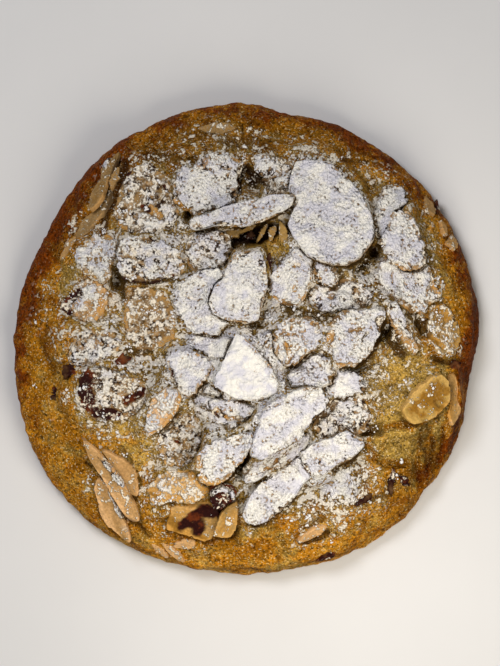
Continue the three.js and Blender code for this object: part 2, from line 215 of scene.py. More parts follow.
# The dough's outline, as in the solid. All tables in plan are from the outline's own centre,
# and the frame has the middle of its box on the axis.

doughForm = {
    "edgeRadius": 46.2, "widestHeight": 3.4, "crownHeight": 13.4, "shoulderFlatness": 5,
    "shoulderRoundness": 1.8, "footShare": 0.94, "reliefFade": 3,
    "pushes": [  # direction in degrees, half width, push outwards
        (216, 24, 2.2), (250, 20, 0.7), (300, 24, 1.2), (349, 8, -1.4), (79, 6, -0.6), (97, 12, 0.8),
        (118, 16, 0.5), (154, 14, -0.9)],
    "lumps": [  # x, y, radius, rise
        (28.3, -21.4, 6.5, 1.4), (36, -11.8, 6, 0.7), (19, -30, 8, 0.7), (-39, -15, 8, 0.6),
        (-30, -20, 6, 0.7), (8, 38, 7, 0.5), (25, 33, 8, 0.5), (-15, 37, 6, 0.6), (2, -38, 9, 0.5)],
    "creases": [  # half width, depth, line
        (1.3, 1.5, [(33, -17.6), (34, -28.4)]), (1.2, 1.2, [(38.4, -17), (37.4, -25.4)]),
        (1, 0.8, [(10.6, -40.2), (16.6, -38.9)]), (1.2, 0.7, [(-37, 14), (-33.6, 22)])],
    "ripples": [(17, 0.9), (8, 0.5)],  # wavelength, height
    "rippleWaves": 5, "rippleSpread": 0.17,
    "beds": {  # depth of a flake's bed
        "nw_1": 0.5, "w_1": 0.9, "w_2": 0.7, "w_3": 0.8, "w_4": 0.8, "sw_1": 0.7, "s_1": 0.8, "s_2": 0.6,
        "sw_2": 0.3, "sw_4": 0.2, "e_2": 0.4, "e_3": 0.8},
    "bedSlope": 0.3,
}


def outlineRadius(heading):
    # the mean radius and a bell-shaped push for each bulge or flat
    radius = np.full(np.shape(heading), doughForm["edgeRadius"])
    for centre, halfWidth, push in doughForm["pushes"]:
        away = (heading - math.radians(centre) + math.pi) % (2 * math.pi) - math.pi
        radius = radius + push * bell(away, math.radians(halfWidth))
    return radius


def outlineMiddle():
    # middle of the outline's box
    heading = np.linspace(0, 2 * math.pi, 2000)
    x, y = around(outlineRadius(heading), heading)
    return np.array([x.min() + x.max(), y.min() + y.max()]) / 2


middleX, middleY = outlineMiddle()


# Flakes: planes and bends from the frame's solids, torn outlines over them

flakeOutline = {  # corners of the torn edges, round the plan of each flake
    "nw_1": [(-26.5, 29.8), (-26.5, 26.8), (-27.5, 24.6), (-29.5, 23.8), (-31.1, 21.4), (-33.1, 20.2),
        (-34.7, 19.8), (-33.9, 21.6), (-32.5, 23.4), (-30.5, 24.6), (-29.3, 26.2), (-28.5, 28.6)],
    "nw_2": [(-25.1, 37.8), (-25.9, 35.8), (-26.7, 33.8), (-27.7, 31.4), (-28.5, 28.8), (-29.3, 26.8),
        (-31.1, 25.6), (-31.9, 26.4), (-30.3, 29), (-29.3, 31.4), (-29.1, 33.8), (-27.9, 35.8), (-26.5, 37)],
    "nw_3": [(-20.9, 35), (-18.9, 34.8), (-17.3, 33.2), (-15.9, 31.4), (-14.9, 29.2), (-13.9, 26.6),
        (-13.3, 24.4), (-15.1, 22.2), (-18.7, 21), (-22.7, 20.8), (-25.5, 21.8), (-26.5, 24.6),
        (-26.3, 27.8), (-25.3, 30.4), (-23.5, 33.2)],
    "n_1": [(0.3, 36.2), (2.9, 37), (6.3, 35.8), (9.7, 34.6), (9.9, 31.8), (8.7, 29.4), (5.7, 28.2),
        (3.3, 28.6), (4.1, 31), (1.7, 33)],
    "n_2": [(-11.5, 34.4), (-8.9, 36), (-6.5, 37), (-3.9, 36.8), (-1.3, 35.4), (-1.1, 33.2), (-1.5, 30.8),
        (-1.7, 28), (-2.3, 26.4), (-5.1, 25.2), (-8.3, 24.4), (-10.5, 24.4), (-12.5, 25.4), (-14.1, 26.8),
        (-14.9, 28.6), (-14.7, 31), (-14.1, 32.8), (-12.9, 34.2)],
    "n_3": [(-11.5, 23.4), (-10.3, 24.4), (-8.1, 24.6), (-6.3, 25.6), (-3.1, 26.8), (-0.5, 27.4), (2.9, 28),
        (5.7, 29), (8.1, 29.4), (9.5, 28.2), (8.9, 26.4), (6.7, 25), (4.1, 23.6), (1.7, 22.8), (-0.5, 22.2),
        (-2.7, 22.2), (-5.1, 22.8), (-6.9, 23.2), (-8.3, 21.8), (-10.3, 21.4), (-11.5, 22)],
    "ne_1": [(27.3, 30), (29.3, 30.4), (31.3, 29.4), (31.9, 27.6), (30.5, 25.4), (29.1, 23.4), (27.7, 21.6),
        (25.9, 19.8), (25.1, 21.4), (25.1, 24.6), (25.7, 27.4)],
    "ne_2": [(28.9, 25.4), (31.3, 25.6), (32.9, 23.8), (34.1, 21), (35.5, 18.2), (35.3, 15.4), (33.7, 13.8),
        (30.9, 13.8), (28.5, 15.2), (26.9, 17.2), (26.1, 19.2), (27.1, 21.6)],
    "ne_3": [(9.5, 35.2), (11.7, 35.6), (14.7, 35.4), (17.3, 34.4), (19.1, 32.6), (20.7, 31), (22.3, 29),
        (23.7, 26.8), (24.7, 24.6), (25.3, 22.2), (24.9, 19.8), (23.7, 17.6), (22.1, 15.8), (19.7, 14.6),
        (16.9, 14.6), (14.1, 15.4), (11.7, 16.6), (10.1, 18.4), (8.7, 20.6), (7.9, 22.6), (8.7, 24.6),
        (9.3, 26.2), (8.5, 28.2), (8.1, 30.2), (8.7, 32.8)],
    "w_1": [(-33.5, 11.6), (-31.1, 12), (-28.7, 11.2), (-27.7, 9.2), (-27.9, 7), (-28.7, 4.6), (-30.3, 3.4),
        (-32.3, 3.2), (-33.9, 4.2), (-35.5, 4.8), (-37.1, 6), (-37.3, 8), (-35.5, 8.6), (-33.9, 9.6)],
    "w_2": [(-24.1, 10), (-19.9, 10.4), (-16.7, 9.6), (-15.1, 7.2), (-14.1, 4.2), (-14.5, 0.2), (-17.1, -2),
        (-21.5, -2.2), (-23.9, -0.2), (-24.7, 4.2)],
    "w_3": [(-33.7, 2.2), (-31.1, 2), (-28.7, 1.6), (-26.3, 0.8), (-24.7, -0.8), (-25.9, -2.6),
        (-27.9, -3.8), (-29.9, -4.6), (-31.9, -5.6), (-33.9, -5.4), (-35.5, -4.6), (-35.7, -2.6),
        (-34.9, -0.6)],
    "w_4": [(-31.9, -5.8), (-29.1, -5.2), (-25.9, -6.4), (-22.7, -7.4), (-20.3, -8.8), (-19.5, -10.6),
        (-20.1, -12.8), (-21.9, -14.8), (-24.7, -16.2), (-28.3, -16.4), (-31.3, -15.6), (-33.3, -13.8),
        (-33.9, -11.2), (-33.3, -8.4)],
    "w_5": [(-29.9, 21), (-27.1, 20.8), (-25.5, 19.4), (-25.7, 16.6), (-26.7, 14.8), (-27.3, 12.6),
        (-28.7, 11.2), (-30.3, 12.2), (-31.9, 13.6), (-33.3, 15), (-34.3, 16.4), (-33.9, 17.8), (-32.7, 19),
        (-31.1, 20)],
    "w_6": [(-25.3, 19.4), (-23.1, 20.8), (-19.5, 20.2), (-16.3, 19.2), (-13.9, 17.6), (-12.3, 15.4),
        (-13.1, 13.2), (-15.1, 12.2), (-17.5, 11.2), (-20.3, 10.8), (-23.1, 11.2), (-24.9, 12.2),
        (-25.9, 14.2), (-25.9, 17)],
    "sw_1": [(-15.1, -15), (-11.9, -14.6), (-9.7, -16.2), (-8.7, -19), (-9.3, -22.2), (-10.9, -24.6),
        (-13.5, -25.6), (-16.3, -25), (-17.9, -22.6), (-18.3, -19.8), (-17.1, -17)],
    "sw_2": [(-19.7, -29), (-18.1, -27.2), (-15.9, -26.2), (-13.7, -26), (-11.3, -25.6), (-9.9, -26.6),
        (-8.3, -28.4), (-7.5, -29.8), (-7.7, -31.6), (-9.5, -32.2), (-12.1, -32.8), (-14.3, -32.2),
        (-15.9, -32.6), (-17.5, -33.2), (-19.1, -32.4), (-20.1, -30.6)],
    "sw_3": [(-29.9, -27.6), (-28.5, -28.2), (-27.3, -30), (-26.3, -32), (-25.5, -33.8), (-24.7, -35.6),
        (-23.9, -37.6), (-23.3, -39.6), (-23.1, -41), (-24.3, -40.2), (-26.1, -38.6), (-27.7, -37.4),
        (-28.9, -35.8), (-29.7, -34.2), (-29.7, -32.8), (-30.1, -31.4), (-30.7, -29.6)],
    "sw_4": [(-29.3, -21.8), (-27.3, -22.6), (-25.3, -23.6), (-23.7, -24.6), (-22.5, -25.8), (-21.7, -27.4),
        (-21.5, -29.6), (-21.9, -31.4), (-23.3, -31), (-24.3, -29), (-25.9, -26.4), (-27.5, -24.2)],
    "sw_5": [(-16.5, -9.6), (-13.9, -9.8), (-13.1, -12), (-13.7, -14.2), (-15.1, -16.2), (-16.9, -17.8),
        (-18.9, -19), (-20.1, -19.6), (-20.3, -17.8), (-19.9, -15), (-19.3, -12.6), (-18.1, -10.8)],
    "sw_6": [(-33.1, -19.8), (-31.1, -21.2), (-29.3, -21.8), (-28.1, -23.2), (-26.9, -25), (-25.3, -27.2),
        (-23.9, -29.2), (-23.1, -31), (-22.3, -32.8), (-21.7, -34.8), (-21.5, -36.4), (-22.9, -36.4),
        (-24.3, -35.2), (-25.5, -33.4), (-26.9, -31.4), (-28.1, -29.2), (-29.5, -26.6), (-30.9, -24.2),
        (-31.9, -22)],
    "sw_7": [(-9.9, -22.8), (-8.7, -21.2), (-6.7, -20.4), (-4.3, -19.8), (-1.5, -18.8), (1.1, -18.2),
        (1.7, -19.8), (0.9, -21.6), (-0.3, -23.4), (-1.7, -24.8), (-2.7, -26.4), (-3.9, -27.8), (-5.7, -29),
        (-7.9, -29), (-9.7, -28), (-10.3, -25.8)],
    "s_1": [(-15.3, -33.2), (-12.5, -32.8), (-9.7, -32), (-7.7, -32.2), (-6.7, -33.2), (-5.5, -34.6),
        (-5.3, -36.4), (-6.1, -38.4), (-7.1, -39.8), (-8.5, -40.4), (-10.5, -39.8), (-12.7, -39),
        (-14.7, -38.4), (-16.1, -38), (-15.9, -36), (-15.3, -34.4)],
    "s_2": [(-5.3, -34.6), (-3.9, -33.2), (-2.1, -32.2), (-1.7, -34.2), (-1.9, -36.2), (-2.5, -38.2),
        (-3.3, -39.4), (-5.1, -39.6), (-6.9, -39.2), (-6.3, -37.2)],
    "s_3": [(-7.5, -29), (-5.1, -28.6), (-3.1, -29), (-2.1, -30.4), (-2.5, -32.2), (-4.1, -33), (-5.3, -34),
        (-6.7, -33.8), (-7.5, -32.2)],
    "s_4": [(-1.1, -35), (-0.3, -32.8), (0.9, -30.6), (2.7, -28.4), (5.1, -26.4), (7.9, -24.6),
        (10.5, -23.2), (13.1, -23.8), (14.3, -25.4), (13.3, -27), (11.3, -28.6), (9.3, -31.6), (6.7, -34),
        (3.9, -36.2), (1.5, -37), (-0.3, -36.4)],
    "s_5": [(11.1, -22.2), (12.9, -20.8), (15.3, -19.8), (18.1, -19.2), (20.9, -18.8), (22.9, -19.6),
        (23.3, -21.4), (22.1, -23.4), (19.7, -24.2), (17.5, -25.4), (14.9, -27), (12.5, -27), (10.9, -25),
        (10.5, -22.2)],
    "s_6": [(-0.7, -27), (0.5, -25), (2.1, -23.4), (4.5, -21.8), (7.5, -20.4), (10.5, -18.8), (12.3, -18.6),
        (12.3, -20.6), (10.9, -22.8), (8.3, -24.2), (5.9, -25.6), (3.5, -27.4), (1.5, -28.2), (-0.3, -28.6)],
    "s_7": [(1.7, -17), (2.9, -14), (5.5, -11.6), (8.5, -10), (11.9, -9.2), (14.5, -9.8), (16.1, -11.6),
        (15.7, -13.2), (13.9, -14.8), (12.7, -16.4), (11.3, -18), (10.1, -20.2), (7.3, -21.4), (4.5, -22.8),
        (2.1, -24.4), (0.5, -23.2), (0.9, -20.2)],
    "se_1": [(14.1, -13), (16.9, -11.8), (20.1, -11), (22.9, -12.2), (24.5, -14.6), (24.1, -17.4),
        (21.7, -19.4), (18.5, -20.2), (15.3, -19.8), (12.9, -17.8), (12.7, -15)],
    "se_2": [(16.1, -7), (18.9, -5.6), (21.3, -6.4), (23.1, -8.2), (23.7, -10.2), (21.3, -11),
        (18.5, -11.8), (16.1, -11.4), (14.9, -9.2)],
    "e_1": [(40.1, -6.6), (41.7, -6.6), (41.9, -9.4), (41.9, -12.2), (42.5, -14), (41.9, -15.8),
        (40.7, -17.4), (39.5, -17.6), (39.7, -15.8), (40.3, -13.6), (40.1, -11.2), (39.9, -8.8)],
    "e_2": [(30.9, -14.2), (32.1, -12.2), (33.3, -10.4), (35.1, -9.2), (36.5, -7.6), (38.7, -7),
        (40.1, -8.2), (40.5, -10.6), (40.3, -12.6), (39.1, -14), (37.7, -15.4), (35.7, -16.4), (33.3, -17),
        (31.3, -16.4)],
    "e_3": [(37.1, 6.6), (39.1, 7.4), (40.5, 5.6), (41.9, 3), (42.7, 0.2), (42.1, -2.2), (40.7, -3.8),
        (38.9, -3.6), (37.5, -2), (36.3, 0), (35.9, 2.8)],
    "e_4": [(26.5, 16.6), (29.7, 17.4), (32.9, 16.6), (35.3, 14.8), (36.9, 12.2), (37.9, 10.2), (38.9, 8.2),
        (37.1, 7.2), (35.7, 6.2), (34.7, 4.6), (32.9, 4.8), (30.7, 6.2), (28.5, 8.2), (26.5, 10.4),
        (25.9, 13.4)],
    "e_5": [(18.9, 5.8), (21.5, 6), (23.7, 5.8), (25.7, 6.4), (27.3, 5.6), (27.1, 3.6), (26.3, 1.6),
        (25.5, -0.4), (24.5, -2.6), (22.9, -4.4), (20.5, -5.6), (18.1, -5.8), (16.9, -4.2), (16.7, -2),
        (15.3, -0.8), (15.7, 1.2), (16.7, 3.4), (17.7, 4.8)],
    "e_6": [(28.1, 7.4), (29.7, 7.2), (30.9, 5.4), (31.9, 3), (32.9, 0.6), (34.1, -2.2), (33.3, -3.2),
        (31.7, -2), (30.1, 0.2), (28.7, 2.6), (27.7, 5)],
    "c_1": [(8.5, -4.2), (11.1, -3.4), (14.1, -2.8), (16.5, -4.2), (17.3, -6.6), (16.5, -8.8),
        (14.1, -10.4), (10.9, -10.4), (8.5, -9.4), (7.9, -6.8)],
    "c_3": [(-11.1, 1.4), (-8.3, 1.6), (-5.1, 1.2), (-2.9, 0.2), (-3.1, -1.8), (-4.3, -3.8), (-7.1, -3.8),
        (-9.9, -2.6), (-11.9, -0.8)],
    "c_4": [(2.1, 1), (4.5, 1.6), (7.3, 0.6), (9.3, -1.4), (8.9, -3.8), (6.9, -6), (4.5, -5.8), (2.9, -3.4),
        (1.9, -1.2)],
    "c_5": [(-8.1, -11.8), (-4.7, -12), (-1.3, -12.4), (1.7, -13.2), (0.9, -15.2), (-1.3, -17.2),
        (-3.5, -18.4), (-5.3, -17), (-7.1, -14.6)],
    "c_6": [(-11.5, 20.6), (-9.1, 22.2), (-6.3, 22), (-3.5, 20.6), (-2.9, 17.8), (-3.5, 15), (-5.9, 13.2),
        (-9.1, 12.6), (-11.7, 13.8), (-12.7, 17)],
    "c_7": [(12.1, 9.8), (14.5, 11.4), (17.3, 11.8), (20.1, 12.2), (22.9, 11), (24.7, 8.6), (23.7, 6.2),
        (20.5, 5.4), (17.3, 4.8), (14.1, 5.4), (11.7, 7.2)],
    "c_8": [(-4.7, 13.8), (-7.9, 13.8), (-10.9, 12.8), (-13.3, 11.4), (-14.9, 9.4), (-15.1, 7.6),
        (-13.9, 6), (-12.7, 4.8), (-12.3, 2.8), (-10.9, 1.4), (-8.7, 1), (-6.5, 0.6), (-3.9, 1.2),
        (-3.5, 5.8), (-3.9, 10.2)],
    "c_9": [(9.7, 18.2), (12.3, 18.2), (13.3, 16.4), (12.9, 14.2), (12.9, 11.8), (11.9, 9.8), (11.3, 7.8),
        (9.9, 6.6), (7.9, 6.4), (6.3, 7.2), (4.9, 8.2), (3.7, 9.6), (3.9, 11.6), (5.1, 13.2), (6.7, 14.8),
        (8.1, 16.4)],
    "c_10": [(14.3, 15.4), (16.5, 15.2), (18.1, 13.8), (18.1, 11.6), (17.1, 9.8), (15.5, 11), (13.9, 11.2),
        (12.9, 12.8), (13.3, 14.4)],
    "c_11": [(-15.1, -2.6), (-12.7, -2.2), (-10.1, -2.6), (-7.7, -3.6), (-7.1, -5.2), (-8.1, -7.2),
        (-9.3, -9.4), (-10.5, -10.8), (-11.9, -11.6), (-13.1, -11.2), (-14.3, -9.4), (-14.7, -7.4),
        (-15.7, -5.4), (-16.1, -3.8)],
    "c_12": [(6.5, 3.4), (8.9, 4.4), (11.7, 4.4), (14.1, 3.4), (14.9, 0.8), (14.5, -1.2), (12.7, -2.6),
        (10.9, -3.6), (9.7, -4.8), (7.7, -5.6), (6.1, -3.8), (5.1, -1.6), (5.3, 1.2)],
    "c_13": [(-2.1, 17.2), (0.3, 17.6), (2.7, 17.2), (3.5, 15.4), (3.7, 13.4), (4.3, 11.6), (3.7, 9.6),
        (3.3, 7.6), (2.7, 5.6), (2.1, 3.6), (-0.3, 3), (-2.7, 3.4), (-5.1, 4), (-7.1, 5.2), (-7.7, 7.2),
        (-7.3, 9), (-6.5, 10.6), (-5.1, 12), (-4.3, 13.8), (-3.5, 15.6)],
    "c_14": [(-2.1, 1.2), (-0.5, 0.6), (1.3, -1.2), (3.3, -3), (4.5, -4.6), (5.3, -6.6), (6.3, -9),
        (5.9, -10.6), (3.7, -11.8), (0.7, -12.4), (-1.9, -12), (-4.3, -10.8), (-6.7, -9.4), (-6.1, -7),
        (-4.9, -4.8), (-3.9, -2.6), (-3.1, -0.6)],
}
usualLook = {
    "sugar": 0.9,  # share that sugar covers
    "tone": 0.85,  # 0 is cream, 1 is tan, 2 is soaked
    "toast": 0.03, "yellow": 0.0, "deep": 0.0,  # toasting, yellowness and gold brown all over
    "pale": 0.0,  # how pale the pits of the sugar stay under their painted shade
    "skin": 0.0,  # brown skin all over
    "sunk": None,  # how far below its top the dough has risen round it
    "bare": False,  # a bare slice: clean edges, strong streaks, no drifted sugar
    "clean": False,  # clean edges
}
flakeLooks = {  # where a flake differs from the usual look
    "nw_1": dict(sugar=0.06, tone=2.2, sunk=0.5, bare=True),
    "nw_2": dict(sugar=0.06, tone=2.1, deep=0.3, sunk=0.7, bare=True),
    "nw_3": dict(sugar=0.5, tone=1.7, sunk=0.4),
    "n_1": dict(sugar=0.64, tone=1.6, sunk=0.5),
    "n_2": dict(sugar=0.78, sunk=1),
    "n_3": dict(clean=True),
    "ne_1": dict(sugar=1.02, sunk=0.8),
    "ne_2": dict(pale=0.4),
    "ne_3": dict(sugar=1.05, clean=True),
    "w_1": dict(sugar=0.57, tone=0.6, pale=0.6, sunk=0.6),
    "w_2": dict(sugar=0.38, tone=1.7, toast=0.3, sunk=0.3),
    "w_3": dict(sugar=0.5, tone=1.1, sunk=0.3),
    "w_4": dict(sugar=0.48, tone=1.6, sunk=0.5),
    "w_5": dict(sugar=0.78, tone=0.6, yellow=0.15, pale=0.5, sunk=0.8),
    "w_6": dict(sugar=0.73, tone=1.6, sunk=0.5),
    "sw_1": dict(sugar=0.48, tone=0.8, yellow=0.2, sunk=0.4),
    "sw_2": dict(sugar=0.42, tone=-0.2, toast=0.25, yellow=0.4, pale=1, sunk=0.5),
    "sw_3": dict(sugar=0.04, tone=0.9, deep=0.12, bare=True),
    "sw_4": dict(sugar=0.05, tone=0.9, bare=True),
    "sw_5": dict(sugar=0.66, tone=-0.2, pale=1, sunk=0.7, clean=True),
    "sw_6": dict(sugar=0.06, tone=0.8, bare=True),
    "sw_7": dict(sugar=0.78, pale=0.5),
    "s_1": dict(sugar=0.02, tone=1.6, toast=0.55, yellow=0.2, bare=True),
    "s_2": dict(sugar=0.02, tone=1.4, toast=0.5, yellow=0.3, deep=0.4, bare=True),
    "s_3": dict(sugar=0.12, skin=1, bare=True),
    "s_4": dict(sugar=0.97, tone=0.5, clean=True),
    "s_5": dict(sugar=0.97, tone=0.5, clean=True),
    "s_6": dict(sugar=1.02, pale=0.6),
    "s_7": dict(sugar=1.08, pale=0.4, sunk=0.4),
    "se_1": dict(sugar=0.53, tone=1.4, sunk=0.3),
    "se_2": dict(sugar=1.2, sunk=0.6),
    "e_1": dict(sugar=0.04, toast=0.25, yellow=0.2, bare=True),
    "e_2": dict(sugar=0.03, tone=0.9, toast=0, yellow=0.7, deep=0.75, pale=0.9, sunk=0.8, bare=True),
    "e_3": dict(sugar=0.4, tone=1.6, toast=0.35, yellow=0.4, deep=0.4, pale=0.6, sunk=0.4),
    "e_4": dict(sugar=0.75, pale=0.4, sunk=0.7),
    "e_5": dict(pale=0.5),
    "e_6": dict(sugar=0.8, sunk=0.7),
    "c_1": dict(sugar=0.78, tone=1.3, sunk=0.5),
    "c_3": dict(sugar=1, tone=1.5, sunk=0.5),
    "c_4": dict(tone=1.5, sunk=0.5),
    "c_5": dict(sugar=0.74, toast=0.3, sunk=0.5),
    "c_6": dict(sugar=0.7, tone=1.6, sunk=0.4),
    "c_7": dict(sugar=0.6, tone=1.3, sunk=0.5),
    "c_8": dict(sugar=1),
    "c_9": dict(sugar=1, pale=0.8, clean=True),
    "c_10": dict(sunk=0.8),
    "c_11": dict(sugar=1, tone=0.5, pale=0.6),
    "c_12": dict(sugar=0.8, toast=0.25, pale=0.5),
    "c_13": dict(sugar=1, clean=True),
    "c_14": dict(sugar=1.35, tone=0, pale=0.6, clean=True),
    "c_2": dict(tone=1.5, sunk=0.5),
}
flakeHeadings = np.linspace(-math.pi, math.pi, 361)
tearing = {
    "smoothing": 0.8,  # degrees
    "least": (0.8, -0.5), "most": (1.1, 0.6),  # share of the solid's reach, margin
    "faceOn": 0.7,  # cosine past which a triangle is on a face, not on the rim
}


def solidTriangles(node):
    # a solid's corners and its triangles' corner numbers
    mesh = node.data
    corners = np.zeros(len(mesh.vertices) * 3)
    mesh.vertices.foreach_get("co", corners)
    mesh.calc_loop_triangles()
    triangles = np.zeros(len(mesh.loop_triangles) * 3, np.int32)
    mesh.loop_triangles.foreach_get("vertices", triangles)
    return corners.reshape(-1, 3) / mm, triangles.reshape(-1, 3)


def readFlake(place, node):
    # a flake's own axes and corners, its thickness, and the quadratic that both faces follow,
    # fitted to its corners by least squares
    corners, triangles = solidTriangles(node)
    a, b, c = corners[triangles].transpose(1, 0, 2)
    across = np.cross(b - a, c - a)
    normal = np.linalg.eigh(np.cov(corners.T))[1][:, 0]
    normal *= np.sign(normal[2])
    facing = across @ normal / np.linalg.norm(across, axis=1)
    axes = planeAxes(across[facing > tearing["faceOn"]].sum(0))
    top = np.unique(triangles[facing > tearing["faceOn"]])
    under = np.unique(triangles[facing < -tearing["faceOn"]])
    rows = np.concatenate([top, under])
    isTop = np.arange(len(rows)) < len(top)
    middle = corners[rows].mean(0)
    x, y, z = ((corners[rows] - middle) @ axes.T).T
    terms = np.stack([isTop, ~isTop, x, y, x * x, x * y, y * y], 1).astype(float)
    fit = np.linalg.lstsq(terms, z, rcond=None)[0]
    middle = middle + axes[2] * (fit[0] + fit[1]) / 2
    look = {**usualLook, **flakeLooks.get(place, {})}
    return {"place": place, "middle": middle, "axes": axes, "corners": (x, y), "bend": fit[2:],
            "thickness": fit[0] - fit[1], **look}


def flakeBend(flake, a, b):
    # the fitted quadratic
    c = flake["bend"]
    return c[0] * a + c[1] * b + c[2] * a * a + c[3] * a * b + c[4] * b * b


def planToFlake(flake, x, y, side):
    # plan offset turned into the flake's axes, twice, the second time with the height of its bend taken out;
    # side is 1 for the top, -1 for the underside
    axes = flake["axes"]
    turned = np.linalg.inv(axes[:2, :2].T)
    h = np.zeros(np.shape(x))
    for _ in range(2):
        dx = x - flake["middle"][0] - h * axes[2, 0]
        dy = y - flake["middle"][1] - h * axes[2, 1]
        a, b = turned[0, 0] * dx + turned[0, 1] * dy, turned[1, 0] * dx + turned[1, 1] * dy
        h = flakeBend(flake, a, b) + side * flake["thickness"] / 2
    return a, b, h


def hullReach(x, y):
    # reach of the points' hull: the least, over all directions, of the support over the cosine to it
    c, s = around(1, flakeHeadings)
    support = np.max(np.outer(c, x) + np.outer(s, y), axis=1)
    facing = np.cos(flakeHeadings[:, None] - flakeHeadings[None, :])
    return np.min(np.where(facing > 0.05, support[None, :] / np.maximum(facing, 0.05), np.inf), axis=1)


def polygonReach(x, y):
    # reach of a polygon round the origin: the farthest crossing of each heading's ray with its sides
    ex, ey = np.roll(x, -1) - x, np.roll(y, -1) - y
    c, s = around(1, flakeHeadings[:, None])
    cross = c * ey - s * ex
    cross = np.where(np.abs(cross) < 1e-9, 1e-9, cross)
    reach, part = (x * ey - y * ex) / cross, (x * s - y * c) / cross
    return np.max(np.where((part >= 0) & (part <= 1), reach, 0), axis=1)


def tearFlake(flake):
    # the outline's reach from its own centre: the torn polygon held near the solid,
    # its corners slightly rounded by a bell curve in frequency
    solidX, solidY = flake["corners"]
    flake["centre"] = (0, 0)
    reach = hullReach(solidX, solidY)
    if flake["place"] in flakeOutline:
        x, y = np.array(flakeOutline[flake["place"]]).T
        a, b, _ = planToFlake(flake, x - middleX, y - middleY, 1)
        flake["centre"] = (a.mean(), b.mean())
        solid = hullReach(solidX - a.mean(), solidY - b.mean())
        low, high = (share * solid + margin for share, margin in (tearing["least"], tearing["most"]))
        reach = np.clip(polygonReach(a - a.mean(), b - b.mean()), low, high)
    f = np.fft.rfftfreq(len(reach) - 1, math.degrees(flakeHeadings[1] - flakeHeadings[0]))
    smoother = np.exp(-2 * (math.pi * tearing["smoothing"] * f) ** 2)
    reach = np.fft.irfft(np.fft.rfft(reach[:-1]) * smoother, len(reach) - 1)
    flake["reach"] = np.append(reach, reach[0])
    flake["size"] = 2 * math.sqrt(np.mean(flake["reach"] ** 2))
    flake["lengthwise"] = 0.5 * np.angle(np.sum(flake["reach"] ** 3 * np.exp(2j * flakeHeadings)))


def flakeReach(flake, heading):
    # the outline's reach at a heading, blended between the headings it is known at
    return np.interp((heading + math.pi) % (2 * math.pi) - math.pi, flakeHeadings, flake["reach"])


def flakePoints(flake, a, b, h):
    # from the flake's own axes to the frame's
    return flake["middle"] + np.stack([a, b, h], 1) @ flake["axes"]


def flakeShare(flake, a, b):
    # share of the way from the flake's centre to its outline
    a, b = a - flake["centre"][0], b - flake["centre"][1]
    return np.hypot(a, b) / flakeReach(flake, np.arctan2(b, a))


def flakeHeights(flake, x, y, side):
    # height of the top or underside over points of the plan, nan outside the outline
    a, b, h = planToFlake(flake, x, y, side)
    z = flake["middle"][2] + a * flake["axes"][0, 2] + b * flake["axes"][1, 2] + h * flake["axes"][2, 2]
    return np.where(flakeShare(flake, a, b) <= 1, z, np.nan)


flakes = {}
for name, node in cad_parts.items():
    if name.startswith("flake_"):
        place = name.removeprefix("flake_")
        flakes[place] = readFlake(place, node)
        tearFlake(flakes[place])
print("flakes read:", len(flakes))


# The dough's upper side, as in the solid

def domeHeight(share):
    # a flat-topped dome: (1 - share^flatness)^(1 / roundness) of the way from the widest height to the crown
    f = doughForm
    fall = np.clip(1 - share ** f["shoulderFlatness"], 0, 1) ** (1 / f["shoulderRoundness"])
    return f["widestHeight"] + (f["crownHeight"] - f["widestHeight"]) * fall


def ripple(x, y, wavelength):
    # plane waves whose headings are a golden angle apart, averaged
    k = np.arange(doughForm["rippleWaves"])[:, None]
    pitch = 2 * math.pi * (1 + doughForm["rippleSpread"] * k) / wavelength
    c, s = around(1, math.radians(137.5) * k)
    return np.mean(np.sin(pitch * (x * c + y * s) + k * k), axis=0)


def doughRelief(x, y):
    # ripples and bell-shaped lumps, less bell-shaped creases and flat beds
    x, y = x.ravel(), y.ravel()
    rise = sum(height * ripple(x, y, wavelength) for wavelength, height in doughForm["ripples"])
    rise += bellSum(x, y, doughForm["lumps"])
    for halfWidth, depth, line in doughForm["creases"]:
        rise -= depth * bell(lineDistance(x, y, line), halfWidth)
    for place, depth in doughForm["beds"].items():
        a, b, _ = planToFlake(flakes[place], x - middleX, y - middleY, -1)
        rise -= depth * (1 - ease(1, 1 + doughForm["bedSlope"], flakeShare(flakes[place], a, b)))
    return rise


def reliefShare(plain):
    # the relief dies out down the side
    return ease(doughForm["widestHeight"], doughForm["widestHeight"] + doughForm["reliefFade"], plain)


def edgeShare(x, y):
    # share of the way from the centre to the outline
    return np.hypot(x, y) / outlineRadius(np.arctan2(y, x))


def doughHeight(x, y):
    # height of the solid's upper side
    x, y = np.ravel(x), np.ravel(y)
    plain = domeHeight(edgeShare(x, y))
    return plain + doughRelief(x, y) * reliefShare(plain)


# Height maps of the plan

mapCell = 0.25
mapHalf = 50
mapLine = np.arange(-mapHalf, mapHalf + mapCell / 2, mapCell)
mapX, mapY = np.meshgrid(mapLine, mapLine, indexing="ij")


def blurred(values, spread):
    # the map times a bell curve in frequency
    f = np.fft.fftfreq(len(mapLine), mapCell)
    share = np.exp(-2 * (math.pi * spread) ** 2 * (f[:, None] ** 2 + f[None, :] ** 2))
    return np.fft.ifft2(np.fft.fft2(values) * share).real


def sampled(values, x, y):
    # the map at points of the plan, blended between its four nearest cells
    last = len(mapLine) - 1.001  # just short of the last cell
    u, v = (np.clip((np.ravel(c) + mapHalf) / mapCell, 0, last) for c in (x, y))
    i, j = u.astype(int), v.astype(int)
    u, v = u - i, v - j
    low = values[i, j] * (1 - u) + values[i + 1, j] * u
    high = values[i, j + 1] * (1 - u) + values[i + 1, j + 1] * u
    return low * (1 - v) + high * v


